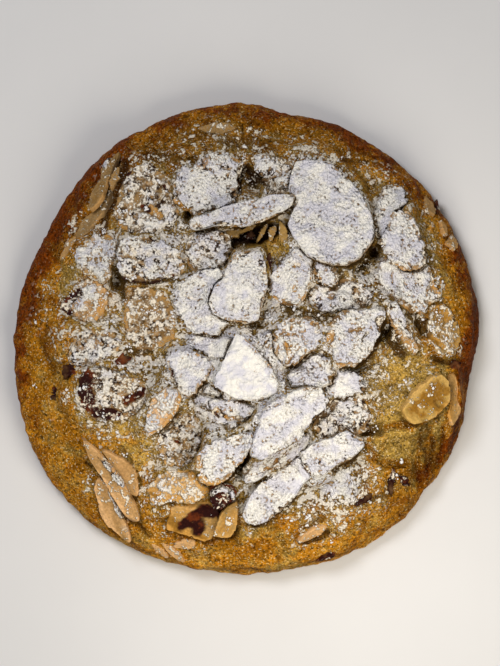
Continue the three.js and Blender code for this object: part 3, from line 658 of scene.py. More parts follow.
doughFill = {
    "edge": 1.4, "middle": 3.4, "from": 20, "to": 33,  # most rise under a flake, near the edge and inside
    "gap": 0.15, "fadeFrom": 0.3, "fade": 2.0, "fillet": 1.0,  # gap left under it, and where the rise stops
    "sunkSlope": 0.6, "sunkSteps": 10, "cover": 0.35,  # fall away from sunk flakes, and depth below any top
    "below": 0.55, "betweenBlur": 1.3,  # depth below the tops between flakes
    "driftDepth": 0.3, "driftSlope": 0.75, "driftSteps": 14, "driftLeast": -5,  # sugar beside flakes
    "bridged": ("s_4", "s_5"), "bridgeDepth": 0.2,  # flakes whose joins are filled
    "hollow": (0.15, 0.6), "blur": 0.25,
}
hollows = [  # gaps of the heap, sunk and painted dark as shade: x, y, half length, half width, turn in degrees, depth
    (0.9, 31.2, 3, 2.2, -50, 2.1), (1.5, 20.6, 8.5, 2, 12, 3), (25.1, 31, 1.4, 2.6, 20, 1.8),
    (25.2, 17.6, 1.5, 2.4, 25, 2.2), (15.8, -15.4, 2.4, 1.5, 40, 2), (-26, 12, 1.2, 2.6, 0, 2),
    (-11.8, 24.2, 1.2, 1.8, 0, 1.6), (27.2, 1.6, 1.4, 3.2, -30, 2), (22.6, -5.6, 2.4, 0.9, 20, 1.6),
    (23.4, -18, 0.9, 1.1, 0, 2.2), (-1, -24.6, 0.9, 3, -35, 2), (34, 2, 1, 3, 10, 1.6)]
fullDepth = 2.6  # depth of a hollow whose share is 1
joins = [  # seams without a gap: half width, line in plan
    (3, [(11.7, -24.4), (13.3, -26)]), (1, [(0.9, -25.4), (4.5, -22.8), (10.5, -19.4)])]
joinMap = strokeShare(mapX, mapY, joins, 0)
sides = {"west": (0, -1), "north": (1, 1), "east": (0, 1), "south": (1, -1)}  # axis and shift of the maps
bareNumbers = [number for number, flake in enumerate(flakes.values()) if flake["bare"]]


def hollowShare(x, y):
    # 1 in the middle of a deep hollow, falling off as a bell
    most = np.zeros(np.shape(x))
    for cx, cy, halfLength, halfWidth, turn, depth in hollows:
        along, across = turnedBack(x - cx, y - cy, math.radians(turn))
        most = np.maximum(most, bell(along, halfLength) * bell(across, halfWidth) * depth / fullDepth)
    return most


def spreadHeights(heights, steps, slope, towards):
    # heights carried sideways a cell at a time, falling by the slope
    for _ in range(steps):
        for axis, shift in (sides[side] for side in towards):
            heights = np.maximum(heights, np.roll(heights, shift, axis) - slope * mapCell)
    return heights


def topOf(flake):
    # height of the flake's top over the map, minus infinity outside it
    z = flakeHeights(flake, mapX - middleX, mapY - middleY, 1)
    return np.where(np.isnan(z), -np.inf, z)


def stackFlakes():
    # the dough's height, the lowest underside and the highest top over it, and the number of the flake on top
    base = doughHeight(mapX, mapY).reshape(mapX.shape)
    under, top, owner = np.full(mapX.shape, np.inf), base.copy(), np.full(mapX.shape, -1)
    for number, flake in enumerate(flakes.values()):
        low, high = (flakeHeights(flake, mapX - middleX, mapY - middleY, side) for side in (-1, 1))
        under = np.fmin(under, low)
        owner = np.where(high > top, number, owner)
        top = np.fmax(top, high)
    return base, under, top, owner


def riseUnder(gap, inner):
    # the dough's rise into the gap under a flake: up to a most, and none where the gap is too wide
    f = doughFill
    most = f["edge"] + (f["middle"] - f["edge"]) * inner
    fill = np.clip(gap - f["gap"], 0, most) * (1 - ease(most + f["fadeFrom"], most + f["fade"], gap))
    return np.minimum(blurred(fill, f["fillet"]), np.maximum(gap - f["gap"], 0))


def riseRound(top, owner):
    # the tops of sunk flakes less their depths, falling away on all sides and staying under every flake's top
    f = doughFill
    sunk = np.full(mapX.shape, -np.inf)
    for flake in flakes.values():
        if flake["sunk"] is not None:
            sunk = np.maximum(sunk, topOf(flake) - flake["sunk"])
    sunk = spreadHeights(sunk, f["sunkSteps"], f["sunkSlope"], sides)
    return np.where(owner >= 0, np.minimum(sunk, top - f["cover"]), sunk)


def sugarDrift(base, top, owner):
    # sugar drifted from sugared tops to the west and north, and to all sides over the joins of bridged flakes
    f = doughFill
    heights = np.where(np.isin(owner, bareNumbers + [-1]), -np.inf, top - f["driftDepth"])
    drift = spreadHeights(heights, f["driftSteps"], f["driftSlope"], ["west", "north"])
    for place in f["bridged"]:
        heights = topOf(flakes[place]) - f["bridgeDepth"]
        bridge = spreadHeights(heights, f["driftSteps"], f["driftSlope"], sides)
        drift = np.maximum(drift, np.where(joinMap > 0, bridge, -np.inf))
    return np.maximum(drift, base + f["driftLeast"])


def layMaps():
    # the highest top of the dough and flakes and whose it is, the dough's rise below and between the flakes
    # and the drifted sugar
    f = doughFill
    base, under, top, owner = stackFlakes()
    inner = 1 - ease(f["from"], f["to"], np.hypot(mapX, mapY))
    drift = sugarDrift(base, top, owner)
    between = (blurred(top, f["betweenBlur"]) - f["below"] - base) * inner
    fill = riseUnder(np.where(np.isfinite(under), under - base, 2 * mapHalf), inner)
    fill = np.maximum(fill, np.where(owner < 0, between, 0))
    fill = np.maximum(fill, np.maximum(riseRound(top, owner), drift) - base)
    fill *= 1 - ease(*f["hollow"], hollowShare(mapX, mapY))
    fill = np.where(owner >= 0, np.minimum(fill, top - f["cover"] - base), fill)
    return base, top, owner, blurred(fill, f["blur"]), drift


baseMap, topMap, ownerMap, fillMap, driftMap = layMaps()
onFlake = ownerMap >= 0
print("maps:", mapX.shape)


slits = [  # gaps, slits and folds painted dark as shadow, and sunk a little: half width, darkness, line in plan
    (0.35, 0.75, [(6.1, -43.4), (6.3, -45.4)]), (0.5, 0.75, [(35.3, -21.8), (35.7, -24.2)]),
    (0.45, 0.75, [(11.3, -40.4), (13.5, -39.8), (15.9, -38.6)]),
    (0.5, 0.75, [(-32.1, -24.4), (-31.1, -25.4)]),
    (0.5, 0.75, [(-24.9, -35.4), (-21.5, -37), (-19.5, -39.2)]), (0.6, 0.75, [(-22.9, -31.4), (-22.3, -32)]),
    (0.6, 0.75, [(-15.1, -32.4), (-14.9, -33)]), (0.3, 0.75, [(31.1, -10.6), (31.7, -11)]),
    (0.5, 0.6, [(30.7, -16.2), (31.7, -17)]), (0.5, 0.6, [(22.7, -9.8), (25.5, -12)]),
    (0.5, 0.75, [(-12.7, 44.4), (-11.9, 44.2)]), (0.35, 0.75, [(-1.1, 42.6), (-0.9, 40.4)]),
    (1.1, 0.75, [(-28.6, 21.5), (-27.2, 26), (-26.2, 30), (-24.2, 35)]),
    (1.3, 0.5, [(-20, 36), (-16, 35.8), (-11.6, 35.4)]), (1.6, 0.45, [(-3.6, 39.6), (0.4, 39), (4.4, 38)]),
    (1, 0.8, [(6.6, 6.5), (12, 5.1), (17.2, 3.9)]), (0.9, 0.85, [(21.9, 13.6), (24.1, 16.4), (26.3, 19.2)]),
    (0.9, 0.8, [(-24.4, 8.2), (-25.6, 11), (-26.8, 13.8)]),
    (1.3, 0.85, [(26.4, 3.4), (28.6, 0.4), (30.8, -2.8)]),
    (0.9, 0.55, [(35.1, -16.6), (35.1, -20.2), (35.3, -23.8)]),
    (0.6, 0.45, [(-38.4, -6.8), (-40, -3.3), (-41.4, 0.2)]), (0.8, 0.35, [(-40, -0.8), (-39.2, 3.2)]),
    (0.9, 0.75, [(-23.8, -2.4), (-21.6, -2.6), (-19.4, -2.3)]),
    (0.6, 0.8, [(-24.6, 11.6), (-19.7, 11.2), (-14.8, 12)]),
    (0.8, 0.6, [(22.2, -32.7), (25.3, -31.7), (28.4, -30.7)]),
    (0.7, 0.7, [(23, -18.4), (24.8, -18.1), (26.6, -18.3)]),
    (0.7, 0.75, [(18.8, 11.8), (18.4, 13.3), (18, 14.8)]),
    (0.6, 0.75, [(13.2, -16.3), (15.2, -14.9), (17.2, -13.5)]),
    (0.5, 0.7, [(-15.8, -17.3), (-14.4, -15.5), (-13, -13.7)]),
    (0.6, 0.6, [(13.1, -37), (14.2, -36.2), (15.3, -35.4)]), (0.6, 0.6, [(10.6, -37.5), (12.6, -37.1)]),
    (0.5, 0.55, [(19.5, 35.8), (21.7, 35.4), (23.9, 35)]),
    (0.45, 0.8, [(-9.7, -10.7), (-7.5, -11.2), (-5.3, -11.7)]), (0.6, 0.5, [(-23.1, -24.6), (-25.1, -21.6)]),
    (0.4, 0.7, [(27.4, 5.7), (26.7, 7.4), (26, 9.1)]), (0.4, 0.75, [(16.8, -25.9), (20.4, -23.7)]),
    (0.45, 0.7, [(-14.1, -9.6), (-15.1, -7.4)]), (0.5, 0.75, [(0.9, 2.9), (3.3, 2.9)]),
    (0.45, 0.75, [(14.7, -1.9), (16.1, -3.3)]), (0.4, 0.7, [(13, 13.4), (13.2, 15.6)]),
    (0.5, 0.7, [(2.4, 28), (2.8, 29.2)]), (0.45, 0.7, [(22.7, 6.6), (24.5, 6.6)]),
    (0.6, 0.7, [(36.6, -3.4), (38.6, -4.4), (40.2, -4.6)]), (1.5, 0.8, [(32.4, 5), (34.6, 3.2), (35.4, 1.2)]),
    (0.4, 0.95, [(-25.9, 35.2), (-27.1, 32), (-28.2, 28.8)]), (0.3, 0.7, [(37.1, -12.4), (38, -13.6)]),
    (0.5, 0.5, [(27.6, -9.8), (29.6, -9.2), (31.8, -11)]), (0.5, 0.6, [(29.3, -14.6), (31.1, -16.4)]),
    (0.55, 0.95, [(-1.4, 34.2), (-1.5, 31.5), (-1.5, 29)]),
    (0.7, 0.95, [(-0.3, 33.8), (1.9, 31.8), (3.7, 30.8)])]
# painted shadow just south-east of anything that stands higher
crevices = {
    "near": [(-0.3, 0.25), (-0.05, 0.4)], "nearRise": (0.35, 1.0),  # where to look for something higher
    "far": (-0.7, 0.65), "farRise": (0.6, 1.7), "farShare": 0.6,
    "bareLoss": 0.55, "bareBlur": 0.4, "joinLoss": 0.8,  # less beside bare flakes and on joins
    "slitWaver": 1.2, "slitSeed": 33,
}


def laySlits():
    # the greatest of the slits' darknesses, painted shadow, with wavering edges
    waver = roughNoise(mapX, mapY, 0.0, crevices["slitWaver"], crevices["slitSeed"])
    share = np.zeros(mapX.shape)
    for halfWidth, darkness, line in slits:
        share = np.maximum(share, darkness * strokeShare(mapX, mapY, [(halfWidth, line)], waver))
    return share


slitMap = laySlits()
bareNear = np.clip(2 * blurred(np.isin(ownerMap, bareNumbers) * 1.0, crevices["bareBlur"]), 0, 1)


def creviceShadowShare(x, y, z):
    # painted shadow: 1 just south-east of something that stands higher, less beside bare flakes and on joins
    c = crevices
    near = np.max([sampled(topMap, x + dx, y + dy) for dx, dy in c["near"]], axis=0)
    far = sampled(topMap, x + c["far"][0], y + c["far"][1])
    share = np.maximum(ease(*c["nearRise"], near - z), c["farShare"] * ease(*c["farRise"], far - z))
    loss = np.maximum(c["bareLoss"] * sampled(bareNear, x, y), c["joinLoss"] * sampled(joinMap, x, y))
    return share * (1 - loss)


# How much sugar lies where

sugarFall = {
    "seed": 11, "centre": 0.55, "rim": 0.05, "from": 25, "to": 40, "patchSize": 6, "patch": 0.16,
    "besideShare": 0.7, "besidePull": 0.7, "besideBlur": 1.3, "besideNear": (0.1, 0.5),  # near flakes
    "spots": [  # x, y, radius, more or less
        (19, -29.2, 7, 0.5), (12, 37, 8, 0.2), (29, 31, 7, 0.4), (-22, -37, 9, -0.1), (30, -22, 6, -0.4),
        (31, -8, 8, -0.26), (-38, -14, 10, -0.1), (0, -40, 9, -0.1), (-21, -21, 6, -0.3), (38, 12, 7, -0.1),
        (-32, 10, 5, -0.15), (5, 20, 4, -0.5), (-5, 38, 9, 0.12), (-18, 35.5, 5, 0.12), (35.5, 22, 5, 0.28),
        (37, 12, 4, 0.3)],
}
sugarByFlake = np.array([flake["sugar"] for flake in flakes.values()])


def patchNoise(x, y):
    # noise in patches, the same for dough and flakes
    return roughNoise(x, y, 0.0, sugarFall["patchSize"], sugarFall["seed"])


def doughSugar(x, y):
    # a fall-off from the middle to the rim, bell-shaped spots and patchy noise
    f = sugarFall
    cover = f["centre"] + (f["rim"] - f["centre"]) * ease(f["from"], f["to"], np.hypot(x, y))
    return cover + bellSum(x, y, f["spots"]) + f["patch"] * patchNoise(x, y)


def spreadSugar():
    # the dough's own cover, drawn towards that of the flakes beside it
    f = sugarFall
    near = blurred(onFlake * 1.0, f["besideBlur"])
    beside = blurred(np.where(onFlake, sugarByFlake[ownerMap], 0.0), f["besideBlur"]) / np.maximum(near, 0.05)
    own = doughSugar(mapX, mapY)
    return own + (f["besideShare"] * beside - own) * f["besidePull"] * ease(*f["besideNear"], near)


doughSugarMap = spreadSugar()


# Shader helpers. Each one adds its node to the tree of the sockets it is given.

def addNode(tree, kind, **values):
    # a node with its settings
    node = tree.nodes.new(kind)
    for key, value in values.items():
        setattr(node, key, value)
    return node


def plug(value, socket):
    # an output is linked to the socket, a number or colour is set in it
    if isinstance(value, bpy.types.NodeSocket):
        socket.id_data.links.new(value, socket)
    else:
        socket.default_value = (*value, 1) if isinstance(value, tuple) else value


def treeOf(values):
    # the tree of the first output among the values
    return next(value.id_data for value in values if isinstance(value, bpy.types.NodeSocket))


def plugAll(node, **values):
    # values for the inputs of those names
    for key, value in values.items():
        plug(value, node.inputs[key])
    return node


def noiseNode(vector, size, detail=3.0, roughness=0.6):
    # noise with features of a size in millimetres
    node = addNode(vector.id_data, "ShaderNodeTexNoise")
    plugAll(node, Vector=vector, Scale=1 / (size * mm), Detail=detail, Roughness=roughness)
    return node.outputs["Fac"]


def mathNode(operation, *values):
    # one operation on numbers and outputs
    node = addNode(treeOf(values), "ShaderNodeMath", operation=operation)
    for value, socket in zip(values, node.inputs):
        plug(value, socket)
    return node.outputs[0]


plus, times, larger = (partial(mathNode, operation) for operation in ("ADD", "MULTIPLY", "MAXIMUM"))


def rangeNode(value, fromLow, fromHigh, toLow=0.0, toHigh=1.0, smooth=True):
    # from one range to another, held at its ends
    way = "SMOOTHSTEP" if smooth else "LINEAR"
    node = addNode(value.id_data, "ShaderNodeMapRange", interpolation_type=way)
    for entry, socket in zip((value, fromLow, fromHigh, toLow, toHigh), node.inputs):
        plug(entry, socket)
    return node.outputs[0]


mixSockets = {"FLOAT": ((0, 2, 3), 0), "RGBA": ((0, 6, 7), 2)}  # numbers of the inputs, and of the output


def mixNode(kind, blend, *values):
    # a mix of numbers or colours: factor, first and second
    node = addNode(treeOf(values), "ShaderNodeMix", data_type=kind, blend_type=blend)
    inputs, output = mixSockets[kind]
    for value, number in zip(values, inputs):
        plug(value, node.inputs[number])
    return node.outputs[output]


mixValues, mixColours = partial(mixNode, "FLOAT", "MIX"), partial(mixNode, "RGBA", "MIX")
shaded = partial(mixNode, "RGBA", "MULTIPLY", 1.0)  # a colour times a number


def attributeNode(tree, name):
    # a value stored at the mesh's points
    return addNode(tree, "ShaderNodeAttribute", attribute_name=name).outputs["Fac"]


def newGroup(name, inputs, outputs):
    # an empty group, what it is given and what it makes, from labels and kinds of sockets
    group = bpy.data.node_groups.new(name, "ShaderNodeTree")
    for way, sockets in (("INPUT", inputs), ("OUTPUT", outputs)):
        for label, kind in sockets.items():
            group.interface.new_socket(label, in_out=way, socket_type="NodeSocket" + kind)
    return group, addNode(group, "NodeGroupInput").outputs, addNode(group, "NodeGroupOutput").inputs


def placeGroup(vector, group, **values):
    # a group at work, as its outputs
    node = addNode(vector.id_data, "ShaderNodeGroup", node_tree=group)
    return plugAll(node, Vector=vector, **values).outputs


sugarLook = {
    "broad": 2.6, "coarse": 1.1, "small": 0.6, "granule": 0.55,  # sizes
    "pitShade": 1.2, "dust": 0.42, "tint": 3.0,
    # the grey lavender colour is painted shade, laid over the sugar's warm white in patches
    "lavenderShade": (0.63, 0.615, 0.655), "warm": (0.81, 0.78, 0.71), "thin": (0.85, 0.735, 0.555),
}


def makeSugarGroup():
    # powder: two sizes of noise, cut off at a level that leaves the share given as cover
    look = sugarLook
    group, given, made = newGroup(
        "icingSugar", {"Vector": "Vector", "Cover": "Float", "Film": "Float"},
        {"Mask": "Float", "Height": "Float", "Color": "Color", "PitShade": "Float"})
    vector, cover = given["Vector"], given["Cover"]
    cells = plugAll(addNode(group, "ShaderNodeTexVoronoi"), Vector=vector, Scale=1 / (look["granule"] * mm))
    granule = rangeNode(cells.outputs["Distance"], 0.1, 0.9, 1.0, 0.0, smooth=False)
    coarse, small = noiseNode(vector, look["coarse"], 2, 0.5), noiseNode(vector, look["small"], 2, 0.5)
    grain = mixValues(rangeNode(cover, 0.5, 0.9), coarse, small)
    field = plus(times(noiseNode(vector, look["broad"], 2, 0.55), 0.33), times(grain, 0.67))
    field = plus(field, mathNode("MULTIPLY_ADD", granule, 0.15, -0.065))
    level = plus(field, rangeNode(cover, 0, 1.5, -0.115, 0.23, smooth=False))
    # painted shade in the pits of the sugar, uneven
    uneven = rangeNode(noiseNode(vector, look["pitShade"]), 0.44, 0.56, 0.45, 1.5)
    pitShade = times(rangeNode(cover, 0.15, 0.6, 0.0, 0.8), uneven)
    film = times(rangeNode(cover, 0.1, 0.4), given["Film"])
    veil = larger(rangeNode(cover, 0.6, 1.15, 0.0, 0.8), film)
    veil = times(veil, rangeNode(level, 0.38, 0.49))
    veil = times(veil, rangeNode(pitShade, 0.35, 0.9, 1.0, 0.1))
    dust = rangeNode(noiseNode(vector, look["dust"], 2), 0.585, 0.645)
    dust = times(dust, rangeNode(cover, 0.02, 0.3, 0.0, 0.85))
    mask = larger(larger(rangeNode(level, 0.47, 0.525), veil), dust)
    mask = times(mask, rangeNode(cover, 0.0, 0.08))
    pressed = mixValues(rangeNode(cover, 1.0, 1.35, 0.0, 0.8), granule, 0.6)  # thick sugar is smoother
    height = times(mask, rangeNode(level, 0.45, 0.75, 0.3, 1.0, smooth=False))
    height = plus(height, times(times(pressed, mask), 0.45))
    height = times(height, rangeNode(cover, 0.95, 1.35, 1.0, 0.45))
    # painted lavender shade in random patches on thick sugar
    tint = rangeNode(noiseNode(vector, look["tint"], 3, 0.55), 0.38, 0.6)
    tint = larger(tint, rangeNode(cover, 0.35, 0.75, 1.0, 0.0))
    colour = mixColours(tint, look["lavenderShade"], look["warm"])
    colour = mixColours(rangeNode(cover, 0.3, 0.75, 0.75, 0.0), colour, look["thin"])
    # painted shade: each granule lighter in its middle, darker at its edges
    colour = shaded(colour, rangeNode(pressed, 0.2, 0.8, 0.86, 1.03))
    for label, value in (("Mask", mask), ("Height", height), ("Color", colour), ("PitShade", pitShade)):
        plug(value, made[label])
    return group


def makeMottleGroup():
    # uneven tone: blotches, and grain a few tenths of a millimetre across
    group, given, made = newGroup(
        "mottle", {"Vector": "Vector", "Blotches": "Float", "Grains": "Float"},
        {"Blotch": "Float", "Grain": "Float"})
    for label, size, low, high in (("Blotch", "Blotches", 0.32, 0.68), ("Grain", "Grains", 0.3, 0.7)):
        node = addNode(group, "ShaderNodeTexNoise")
        scale = mathNode("DIVIDE", 1 / mm, given[size])
        plugAll(node, Vector=given["Vector"], Scale=scale, Detail=4.0, Roughness=0.62)
        plug(rangeNode(node.outputs["Fac"], low, high), made[label])
    return group


sugarGroup = makeSugarGroup()
mottleGroup = makeMottleGroup()


def newMaterial(name, shine):
    # a material with its shader, and the coordinates its pattern is read from
    material = bpy.data.materials.new(name)
    material.use_nodes = True
    shader = material.node_tree.nodes["Principled BSDF"]
    shader.inputs["Specular IOR Level"].default_value = shine
    return material, shader, addNode(material.node_tree, "ShaderNodeTexCoord").outputs["Object"]


def finishSurface(shader, colour, roughness, height, depth):
    # colour, roughness, and a bump of a depth in millimetres
    bump = addNode(shader.id_data, "ShaderNodeBump")
    plugAll(bump, Height=height, Strength=1.0, Distance=depth * mm)
    plugAll(shader, Roughness=roughness, Normal=bump.outputs["Normal"], **{"Base Color": colour})


almondLook = {
    "cream": (0.73, 0.435, 0.195), "tan": (0.46, 0.262, 0.097), "soaked": (0.28, 0.172, 0.066),
    "toast": (0.54, 0.265, 0.05), "yellow": (0.56, 0.36, 0.085), "deep": (0.27, 0.125, 0.014),
    "skin": (0.02, 0.003, 0.002), "paleSkin": (0.17, 0.033, 0.005),
    # the pit and crevice colours are painted shade, near black
    "pitShade": (0.024, 0.010, 0.004), "creviceShadow": (0.02, 0.008, 0.004),
    "blotch": 2.6, "grain": 0.5, "film": 0.28, "bump": 0.45, "shine": 0.05,
}


def almondMaterial():
    # cream to tan flesh, toasted places, dark skin, painted shade in pits and crevices, and a cover of sugar
    look = almondLook
    material, shader, vector = newMaterial("flakedAlmond", look["shine"])
    given = partial(attributeNode, material.node_tree)
    mottle = placeGroup(vector, mottleGroup, Blotches=look["blotch"], Grains=look["grain"])
    sugar = placeGroup(vector, sugarGroup, Cover=given("sugar"), Film=look["film"])
    tone = plus(given("tone"), times(mottle["Blotch"], 0.5))
    flesh = mixColours(rangeNode(tone, 0.1, 1.2), look["cream"], look["tan"])
    flesh = mixColours(rangeNode(tone, 1.2, 2.2), flesh, look["soaked"])
    for key in ("yellow", "toast", "deep"):
        flesh = mixColours(given(key), flesh, look[key])
    skin = mixColours(rangeNode(mottle["Blotch"], 0.4, 1.0, 0.0, 0.6), look["skin"], look["paleSkin"])
    flesh = mixColours(given("skin"), flesh, skin)
    flesh = shaded(flesh, rangeNode(mottle["Grain"], 0, 1, 0.8, 1.1))
    # painted shade in the sugar's pits, less where they stay pale
    flesh = mixColours(times(sugar["PitShade"], rangeNode(given("pale"), 0, 1, 1, 0)), flesh, look["pitShade"])
    # painted shadow in the crevices
    flesh = mixColours(given("gap"), flesh, look["creviceShadow"])
    colour = mixColours(sugar["Mask"], flesh, sugar["Color"])
    height = plus(sugar["Height"], times(mottle["Grain"], 0.12))
    finishSurface(shader, colour, rangeNode(sugar["Mask"], 0, 1, 0.5, 0.95), height, look["bump"])
    return material


doughLook = {
    "khaki": (0.45, 0.275, 0.055), "gold": (0.465, 0.188, 0.009), "brown": (0.175, 0.036, 0.0015),
    # the gap colour is painted shade, near black; the specks are partly pale crumbs, partly painted glints
    "gap": (0.018, 0.006, 0.003), "speckAndGlint": (0.76, 0.56, 0.27),
    "blotch": 4.5, "grain": 0.5, "fineBlotch": 1.2, "fineGrain": 0.3,
    "patch": 2.4, "pore": 0.7, "speckSize": 0.36, "film": 0.1, "bump": 0.4, "shine": 0.015,
}


def doughMaterial():
    # khaki to gold crumb with pores and pale specks, partly painted glints; browner where it is baked more;
    # painted shade and light by direction; almost black in the gaps as painted shade
    look = doughLook
    material, shader, vector = newMaterial("bakedDough", look["shine"])
    given = partial(attributeNode, material.node_tree)
    mottle = placeGroup(vector, mottleGroup, Blotches=look["blotch"], Grains=look["grain"])
    fine = placeGroup(vector, mottleGroup, Blotches=look["fineBlotch"], Grains=look["fineGrain"])
    sugar = placeGroup(vector, sugarGroup, Cover=given("sugar"), Film=look["film"])
    bake = plus(given("bake"), rangeNode(mottle["Blotch"], 0, 1, -0.2, 0.15))
    bake = plus(bake, rangeNode(fine["Blotch"], 0, 1, -0.1, 0.1))
    crumb = mixColours(rangeNode(bake, 0.0, 0.5), look["khaki"], look["gold"])
    crumb = mixColours(rangeNode(bake, 0.4, 1.0), crumb, look["brown"])
    patchy = rangeNode(noiseNode(vector, look["patch"], 2, 0.5), 0.36, 0.64, 0.82, 1.16)
    grainy = rangeNode(mottle["Grain"], 0, 1, 0.6, 1.4)
    pores = rangeNode(noiseNode(vector, look["pore"], 2, 0.5), 0.36, 0.43, 0.4, 1.0)
    # painted shade and light by direction, then random patches, grain and pores
    for shade in (given("shade"), patchy, grainy, pores):
        crumb = shaded(crumb, shade)
    # pale specks, partly crumbs, partly painted glints
    specksAndGlints = rangeNode(noiseNode(vector, look["speckSize"], 1, 0.5), 0.61, 0.7)
    crumb = mixColours(times(specksAndGlints, rangeNode(bake, 0.45, 0.95, 0.85, 0.15)), crumb, look["speckAndGlint"])
    # painted shade in the gaps and in the pits of the sugar
    crumb = mixColours(given("gap"), crumb, look["gap"])
    crumb = mixColours(times(sugar["PitShade"], 0.65), crumb, look["gap"])
    colour = mixColours(sugar["Mask"], crumb, sugar["Color"])
    height = plus(plus(times(fine["Blotch"], 0.6), times(mottle["Grain"], 0.4)), sugar["Height"])
    finishSurface(shader, colour, rangeNode(sugar["Mask"], 0, 1, 0.45, 0.95), height, look["bump"])
    return material


grainLook = {
    "light": (0.88, 0.85, 0.80), "dark": (0.82, 0.81, 0.82),
    "blotch": 1.2, "grain": 0.3, "bump": 0.1, "shine": 0.1, "roughness": 0.95,
}


def grainMaterial():
    # loose sugar: two tones and a fine tooth
    look = grainLook
    material, shader, vector = newMaterial("looseSugar", look["shine"])
    mottle = placeGroup(vector, mottleGroup, Blotches=look["blotch"], Grains=look["grain"])
    colour = mixColours(mottle["Blotch"], look["light"], look["dark"])
    finishSurface(shader, colour, look["roughness"], mottle["Grain"], look["bump"])
    return material


almondFinish = almondMaterial()
doughFinish = doughMaterial()
sugarFinish = grainMaterial()
print("materials made")


# Dough

doughPiece = {
    "cells": 300, "baseRings": 4, "seed": 31, "hollowDepth": 2.4, "slitDepth": 0.7, "waverSize": 1.2,
    "crag": 0.34, "cragSize": 2.6, "lobe": 0.55, "lobeSize": 6.5, "grain": 0.12, "grainSize": 1.0,
    "sideCrag": 0.35, "sideSize": 6.0, "coverBlur": 0.3, "footRise": 1.2,
    "pits": 260, "pitDepth": 0.5, "pitReach": 45, "pitSizes": (0.35, 0.9), "pitDepths": (0.3, 1.0),
    "middleBake": 0.08, "patchBake": 0.1, "patchSize": 9.0, "foldBakeAndShade": 0.3, "paleBake": 0.35,
    "baseBake": 0.75, "foldPaintedShade": 0.35, "lumpSize": 1.1, "lumpShare": 0.2,
    # how dark the painted shade is in low places, hollows and crevices
    "lowGap": 0.92, "gapDepth": (0.9, 3.2), "gapBlur": 0.8, "hollowGap": (0.3, 0.85), "creviceGap": 0.9,
    "gapLoss": 0.8, "slopeLoss": 0.25, "rimLoss": 0.8, "sugarRise": (4.5, 9.5),  # less sugar
    "rimBakeAndShade": [  # browning of the rim by direction in degrees, browner at the top, left and right and golden at the bottom: partly the crust's own browning, partly painted shade
        (0, 1.15), (15, 0.95), (32, 0.68), (48, 0.88), (60, 0.88), (90, 0.82), (120, 0.88), (150, 1.1),
        (180, 0.95), (200, 0.64), (215, 0.5), (245, 0.42), (270, 0.36), (300, 0.42), (318, 0.58), (330, 0.78),
        (345, 0.85), (360, 1.15)],
    "insideBake": [  # browning inside the rim
        (0, 0.42), (15, 0.3), (32, 0.08), (60, 0.45), (105, 0.42), (135, 0.58), (165, 0.5), (180, 0.46),
        (210, 0.42), (240, 0.54), (265, 0.48), (290, 0.46), (310, 0.42), (330, 0.36), (345, 0.12),
        (360, 0.42)],
    "insidePaintedShade": [  # painted shade inside the rim, darkest at the top
        (0, 0.8), (30, 0.88), (60, 0.82), (75, 0.7), (90, 0.57), (120, 0.55), (135, 0.62), (150, 0.78),
        (165, 0.9), (180, 0.9), (205, 0.88), (225, 0.84), (245, 0.84), (290, 0.8), (310, 0.8), (330, 0.76),
        (345, 0.84), (360, 0.8)],
    "rimPaintedLight": [  # painted light on the rim, brightest at the bottom
        (0, 1), (180, 1), (200, 1.12), (240, 1.15), (270, 1.25), (300, 1.2), (325, 1), (360, 1)],
    "groove": 1.1, "grooveWidth": 0.6,
    "grooves": [  # folds of the dough
        [(34.1, -17.4), (34.1, -21.8), (33.9, -25.8), (34.7, -30)],
        [(36.1, -17.6), (37.1, -20.6), (36.5, -24.6), (35.5, -27.6)],
        [(38.5, -17.6), (38.9, -21.2), (37.9, -25.2)],
        [(24.7, -17.6), (24.1, -20.6), (25.3, -23.4), (28.3, -25.2), (31.7, -24.6)],
        [(24.7, -17.6), (29.5, -17.2), (34.1, -17.2)]],
    "pale": [  # pale places: half width, line in plan
        (2.2, [(-35, 15), (-36, 9)]), (3.5, [(24, -8), (34, -14)]), (3.4, [(27, -20), (32.5, -22)]),
        (0.5, [(33.2, -18), (33.1, -26), (33.6, -30)]), (0.6, [(37.6, -18), (38, -22)]),
        (2, [(-19, -5.6), (-17.6, -6.4)])],
}


def doughProfile(count):
    # share of the radius and height along the half section, evenly spaced:
    # the dome from the crown to the edge, then a cubic curve to the base
    f = doughForm
    share = np.sin(np.linspace(0, math.pi / 2, 400))
    height = domeHeight(share)
    t = np.linspace(0, 1, 40)[1:]
    edge, base = (1, f["widestHeight"]), (f["footShare"], 0.0)
    foot = np.array([edge, (1.004, 1.4), (f["footShare"] + 0.03, 0.0), base])
    bezier = np.stack([(1 - t) ** 3, 3 * t * (1 - t) ** 2, 3 * t * t * (1 - t), t**3], 1) @ foot
    share, height = np.concatenate([share, bezier[:, 0]]), np.concatenate([height, bezier[:, 1]])
    step = np.hypot(np.diff(share) * f["edgeRadius"], np.diff(height))
    length = np.concatenate([[0], np.cumsum(step)])
    even = np.linspace(0, length[-1], count)
    return np.interp(even, length, share), np.interp(even, length, height)


def pitDepth(x, y):
    # small bell-shaped holes at seeded places, spread evenly over the round
    p = doughPiece
    count = p["pits"]
    draw = np.random.default_rng(p["seed"])
    radius, heading = p["pitReach"] * np.sqrt(draw.random(count)), 2 * math.pi * draw.random(count)
    size, depth = draw.uniform(*p["pitSizes"], count), draw.uniform(*p["pitDepths"], count)
    total = np.zeros(np.shape(x))
    for cx, cy, s, d in zip(*around(radius, heading), size, depth):
        near = (np.abs(x - cx) < 3 * s) & (np.abs(y - cy) < 3 * s)
        total[near] += d * bell(np.hypot(x[near] - cx, y[near] - cy), s)
    return total


